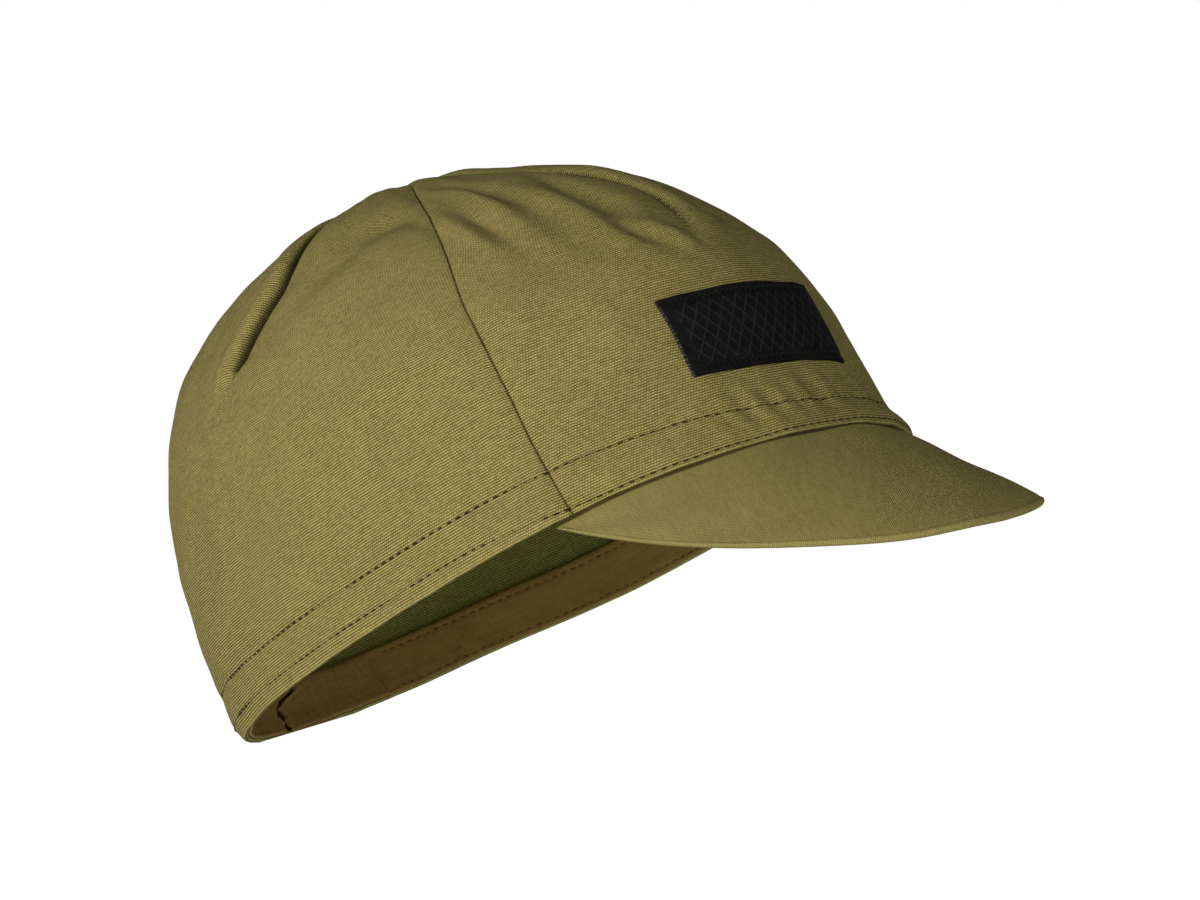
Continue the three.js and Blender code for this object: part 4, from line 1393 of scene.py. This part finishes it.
class CAP_OT_crown(bpy.types.Operator):
    """Builds the front panel and the back panel of the crown."""

    bl_idname = "cap.crown"
    bl_label = "Crown"

    def execute(self, context):
        crown = Crown(context.scene.cap_sizes)
        side = spread(150, 0.8)

        def front_angles(levels):
            seam = sample(SEAM_PATH, levels)[:, None]
            right = seam * (side - 1)
            return np.concatenate([right, -right[:, -2::-1]], axis=1)

        front_columns = 2 * len(side) - 1
        middle = np.full(front_columns, len(side) - 1)
        front = crown_panel("crown_front_panel", crown, front_angles, middle,
                            olive_canvas("front_canvas", crown_painted_shade_and_tints))
        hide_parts("crown_front")

        ahead = spread(86, 0.8)
        behind = spread(112, 0.6)

        def back_angles(levels):
            seam = sample(SEAM_PATH, levels)[:, None]
            dart = sample(SIDE_DART_PATH, levels)[:, None]
            left = seam + (dart - seam) * ahead
            rear = dart + (180 - dart) * behind[1:]
            half = np.concatenate([left, rear], axis=1)
            return np.concatenate([half, 360 - half[:, ::-1]], axis=1)

        half_count = len(ahead) + len(behind) - 1
        left_dart = np.full(half_count, len(ahead) - 1)
        right_dart = 2 * half_count - 1 - left_dart
        reference = np.concatenate([left_dart, right_dart])
        back = crown_panel("crown_back_panel", crown, back_angles, reference,
                           olive_canvas("back_canvas", crown_painted_shade_and_tints))
        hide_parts("crown_back")
        return {"FINISHED"}


class CAP_OT_brim(bpy.types.Operator):
    """Builds the cloth-covered brim."""

    bl_idname = "cap.brim"
    bl_label = "Brim"

    def execute(self, context):
        crown = Crown(context.scene.cap_sizes)
        brim = brim_piece(crown, olive_canvas("brim_canvas", brim_edge_and_painted_shade, (0.22, 0.84)))
        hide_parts("brim")
        return {"FINISHED"}


class CAP_OT_bands(bpy.types.Operator):
    """Builds the sweatband and the elastic's casing."""

    bl_idname = "cap.bands"
    bl_label = "Sweatband and elastic"

    def execute(self, context):
        crown = Crown(context.scene.cap_sizes)
        cloth = context.scene.cap_cloth
        light = tuple(cloth.band_light)
        painted_shade = tuple(cloth.band_painted_shade)
        tape = canvas_material("band_tape", light, painted_shade, tape_painted_tuck_shade, fineness=0.5)
        band = sweatband_piece(crown, tape)
        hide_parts("sweatband")
        elastic = elastic_piece(crown, tape)
        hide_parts("elastic_band")
        return {"FINISHED"}


class CAP_OT_label(bpy.types.Operator):
    """Builds the label with its pressed pattern and its zigzag stitching."""

    bl_idname = "cap.label"
    bl_label = "Label"

    def execute(self, context):
        crown = Crown(context.scene.cap_sizes)
        colour = tuple(context.scene.cap_cloth.label)
        label = label_piece(crown, label_material("label_weave", colour))
        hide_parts("label")
        colour = tuple(context.scene.cap_stitches.label_thread)
        thread = thread_material("black_thread", colour, 0.5 * MM)
        label_stitches(crown, thread)
        return {"FINISHED"}


class CAP_OT_stitches(bpy.types.Operator):
    """Builds the stitching of the hem and of the sweatband."""

    bl_idname = "cap.stitches"
    bl_label = "Stitches"

    def execute(self, context):
        crown = Crown(context.scene.cap_sizes)
        stitches = context.scene.cap_stitches
        twist = 0.6 * MM
        # The hem thread's near-black colour is partly painted shade of its holes and groove
        thread = thread_material("dark_shaded_hem_thread", tuple(stitches.hem_thread_and_shade), twist)
        hem_stitches(crown, thread)
        brown = thread_material("brown_thread", tuple(stitches.band_thread), twist)
        band_stitches(crown, brown)
        return {"FINISHED"}


class CAP_OT_stage(bpy.types.Operator):
    """Builds the ground, the lights and the camera."""

    bl_idname = "cap.stage"
    bl_label = "Stage"

    def execute(self, context):
        stage = context.scene.cap_stage
        ground = bpy.data.meshes.new("ground")
        reach = 3.0
        corners = [(-reach, -reach), (reach, -reach), (reach, reach), (-reach, reach)]
        ground.from_pydata([(x, y, -0.1 * MM) for x, y in corners], [], [(0, 1, 2, 3)])
        ground.materials.append(floor_material(tuple(stage.ground), stage.glow, stage.bounce))
        floor = bpy.data.objects.new("ground", ground)
        context.collection.objects.link(floor)

        crown = Crown(context.scene.cap_sizes)
        camera = make_camera(crown, stage)
        context.collection.objects.link(camera)
        context.scene.camera = camera

        axes = camera.matrix_world.to_3x3()
        middle = Vector((0, 0, 60 * MM))
        right = axes.col[0].normalized()
        back = axes.col[2].normalized()
        up = Vector((0, 0, 1))
        key_way = back * 0.95 - right * 0.62
        fill_way = back * 0.55 + right * 0.9 + up * 0.25
        away = 1.6
        add_light("key_light", middle, key_way.normalized() * away, 1.3, stage.key_power)
        add_light("fill_light", middle, fill_way.normalized() * away, 1.2, stage.fill_power)
        context.scene.world = soft_world(stage.sky, stage.surround)
        context.scene.view_settings.view_transform = "Standard"
        return {"FINISHED"}


def make_camera(crown, stage):
    """The camera of the photograph, set in the rim's frame: its axes are turned by the roll.

    The optical axis passes a fixed distance to the right of the origin and above it. The focal
    length is the distance times the picture's scale there, in pixels for each metre.
    """
    turn, rise, roll = stage.azimuth, stage.elevation, stage.roll
    back = Vector((np.sin(turn) * np.cos(rise), -np.cos(turn) * np.cos(rise), np.sin(rise)))
    level = Vector((np.cos(turn), np.sin(turn), 0))
    upright = back.cross(level)
    right = level * np.cos(roll) + upright * np.sin(roll)
    up = upright * np.cos(roll) - level * np.sin(roll)
    aim_right = 8.6 * MM
    aim_up = 30.4 * MM
    aim = right * aim_right + up * aim_up
    place = Matrix((right, up, back)).transposed().to_4x4()
    place.translation = aim + back * stage.distance
    lens = bpy.data.cameras.new("photo_camera")
    sensor = 36
    picture_width = 1200
    pixels_per_metre = 3978
    lens.sensor_width = sensor
    lens.lens = sensor * pixels_per_metre * stage.distance / picture_width
    lens.clip_start = 0.01
    lens.clip_end = 100
    camera = bpy.data.objects.new("photo_camera", lens)
    camera.matrix_world = crown.stand @ place
    return camera


def add_light(name, middle, away, size, power):
    """A large square light that looks at the cap."""
    lamp = bpy.data.lights.new(name, "AREA")
    lamp.shape = "SQUARE"
    lamp.size = size
    lamp.energy = power
    light = bpy.data.objects.new(name, lamp)
    light.location = middle + away
    light.rotation_euler = (-away).to_track_quat("-Z", "Y").to_euler()
    bpy.context.collection.objects.link(light)


def soft_world(sky, surround):
    """A white backdrop, which lights the cap softly from the sides and less from overhead."""
    world = bpy.data.worlds.new("soft_surround")
    world.use_nodes = True
    nodes = world.node_tree.nodes
    links = world.node_tree.links
    coordinate = nodes.new("ShaderNodeTexCoord")
    axes = nodes.new("ShaderNodeSeparateXYZ")
    links.new(coordinate.outputs["Generated"], axes.inputs[0])
    fade = nodes.new("ShaderNodeMapRange")
    fade.interpolation_type = "SMOOTHSTEP"
    links.new(axes.outputs[2], fade.inputs[0])
    for place, value in enumerate((0.0, 0.7, surround, sky), 1):
        fade.inputs[place].default_value = value
    ray = nodes.new("ShaderNodeLightPath")
    seen = nodes.new("ShaderNodeMath")
    seen.operation = "MAXIMUM"
    links.new(ray.outputs["Is Camera Ray"], seen.inputs[0])
    links.new(fade.outputs[0], seen.inputs[1])
    links.new(seen.outputs[0], nodes["Background"].inputs["Strength"])
    nodes["Background"].inputs["Color"].default_value = (1, 1, 1, 1)
    return world


OPERATORS = (CAP_OT_crown, CAP_OT_brim, CAP_OT_bands, CAP_OT_label, CAP_OT_stitches, CAP_OT_stage)
GROUPS = {
    "cap_sizes": CapSizes,
    "cap_stitches": CapStitches,
    "cap_cloth": CapCloth,
    "cap_stage": CapStage,
}


class CAP_PT_pieces(bpy.types.Panel):
    """Lists the cap's pieces and its sizes in the sidebar."""

    bl_idname = "CAP_PT_pieces"
    bl_label = "Cycling Cap"
    bl_space_type = "VIEW_3D"
    bl_region_type = "UI"
    bl_category = "Cap"

    def draw(self, context):
        for operator in OPERATORS:
            self.layout.operator(operator.bl_idname)
        for name in GROUPS:
            box = self.layout.box()
            values = getattr(context.scene, name)
            for key in type(values).__annotations__:
                box.prop(values, key)


def register():
    for group in (*GROUPS.values(), *OPERATORS, CAP_PT_pieces):
        bpy.utils.register_class(group)
    for name, group in GROUPS.items():
        setattr(bpy.types.Scene, name, bpy.props.PointerProperty(type=group))


def unregister():
    for name in GROUPS:
        delattr(bpy.types.Scene, name)
    for group in (CAP_PT_pieces, *reversed(OPERATORS), *reversed(GROUPS.values())):
        bpy.utils.unregister_class(group)


def main():
    register()
    bpy.ops.cap.crown()
    bpy.ops.cap.brim()
    bpy.ops.cap.bands()
    bpy.ops.cap.label()
    bpy.ops.cap.stitches()
    bpy.ops.cap.stage()


if __name__ == "__main__":
    main()
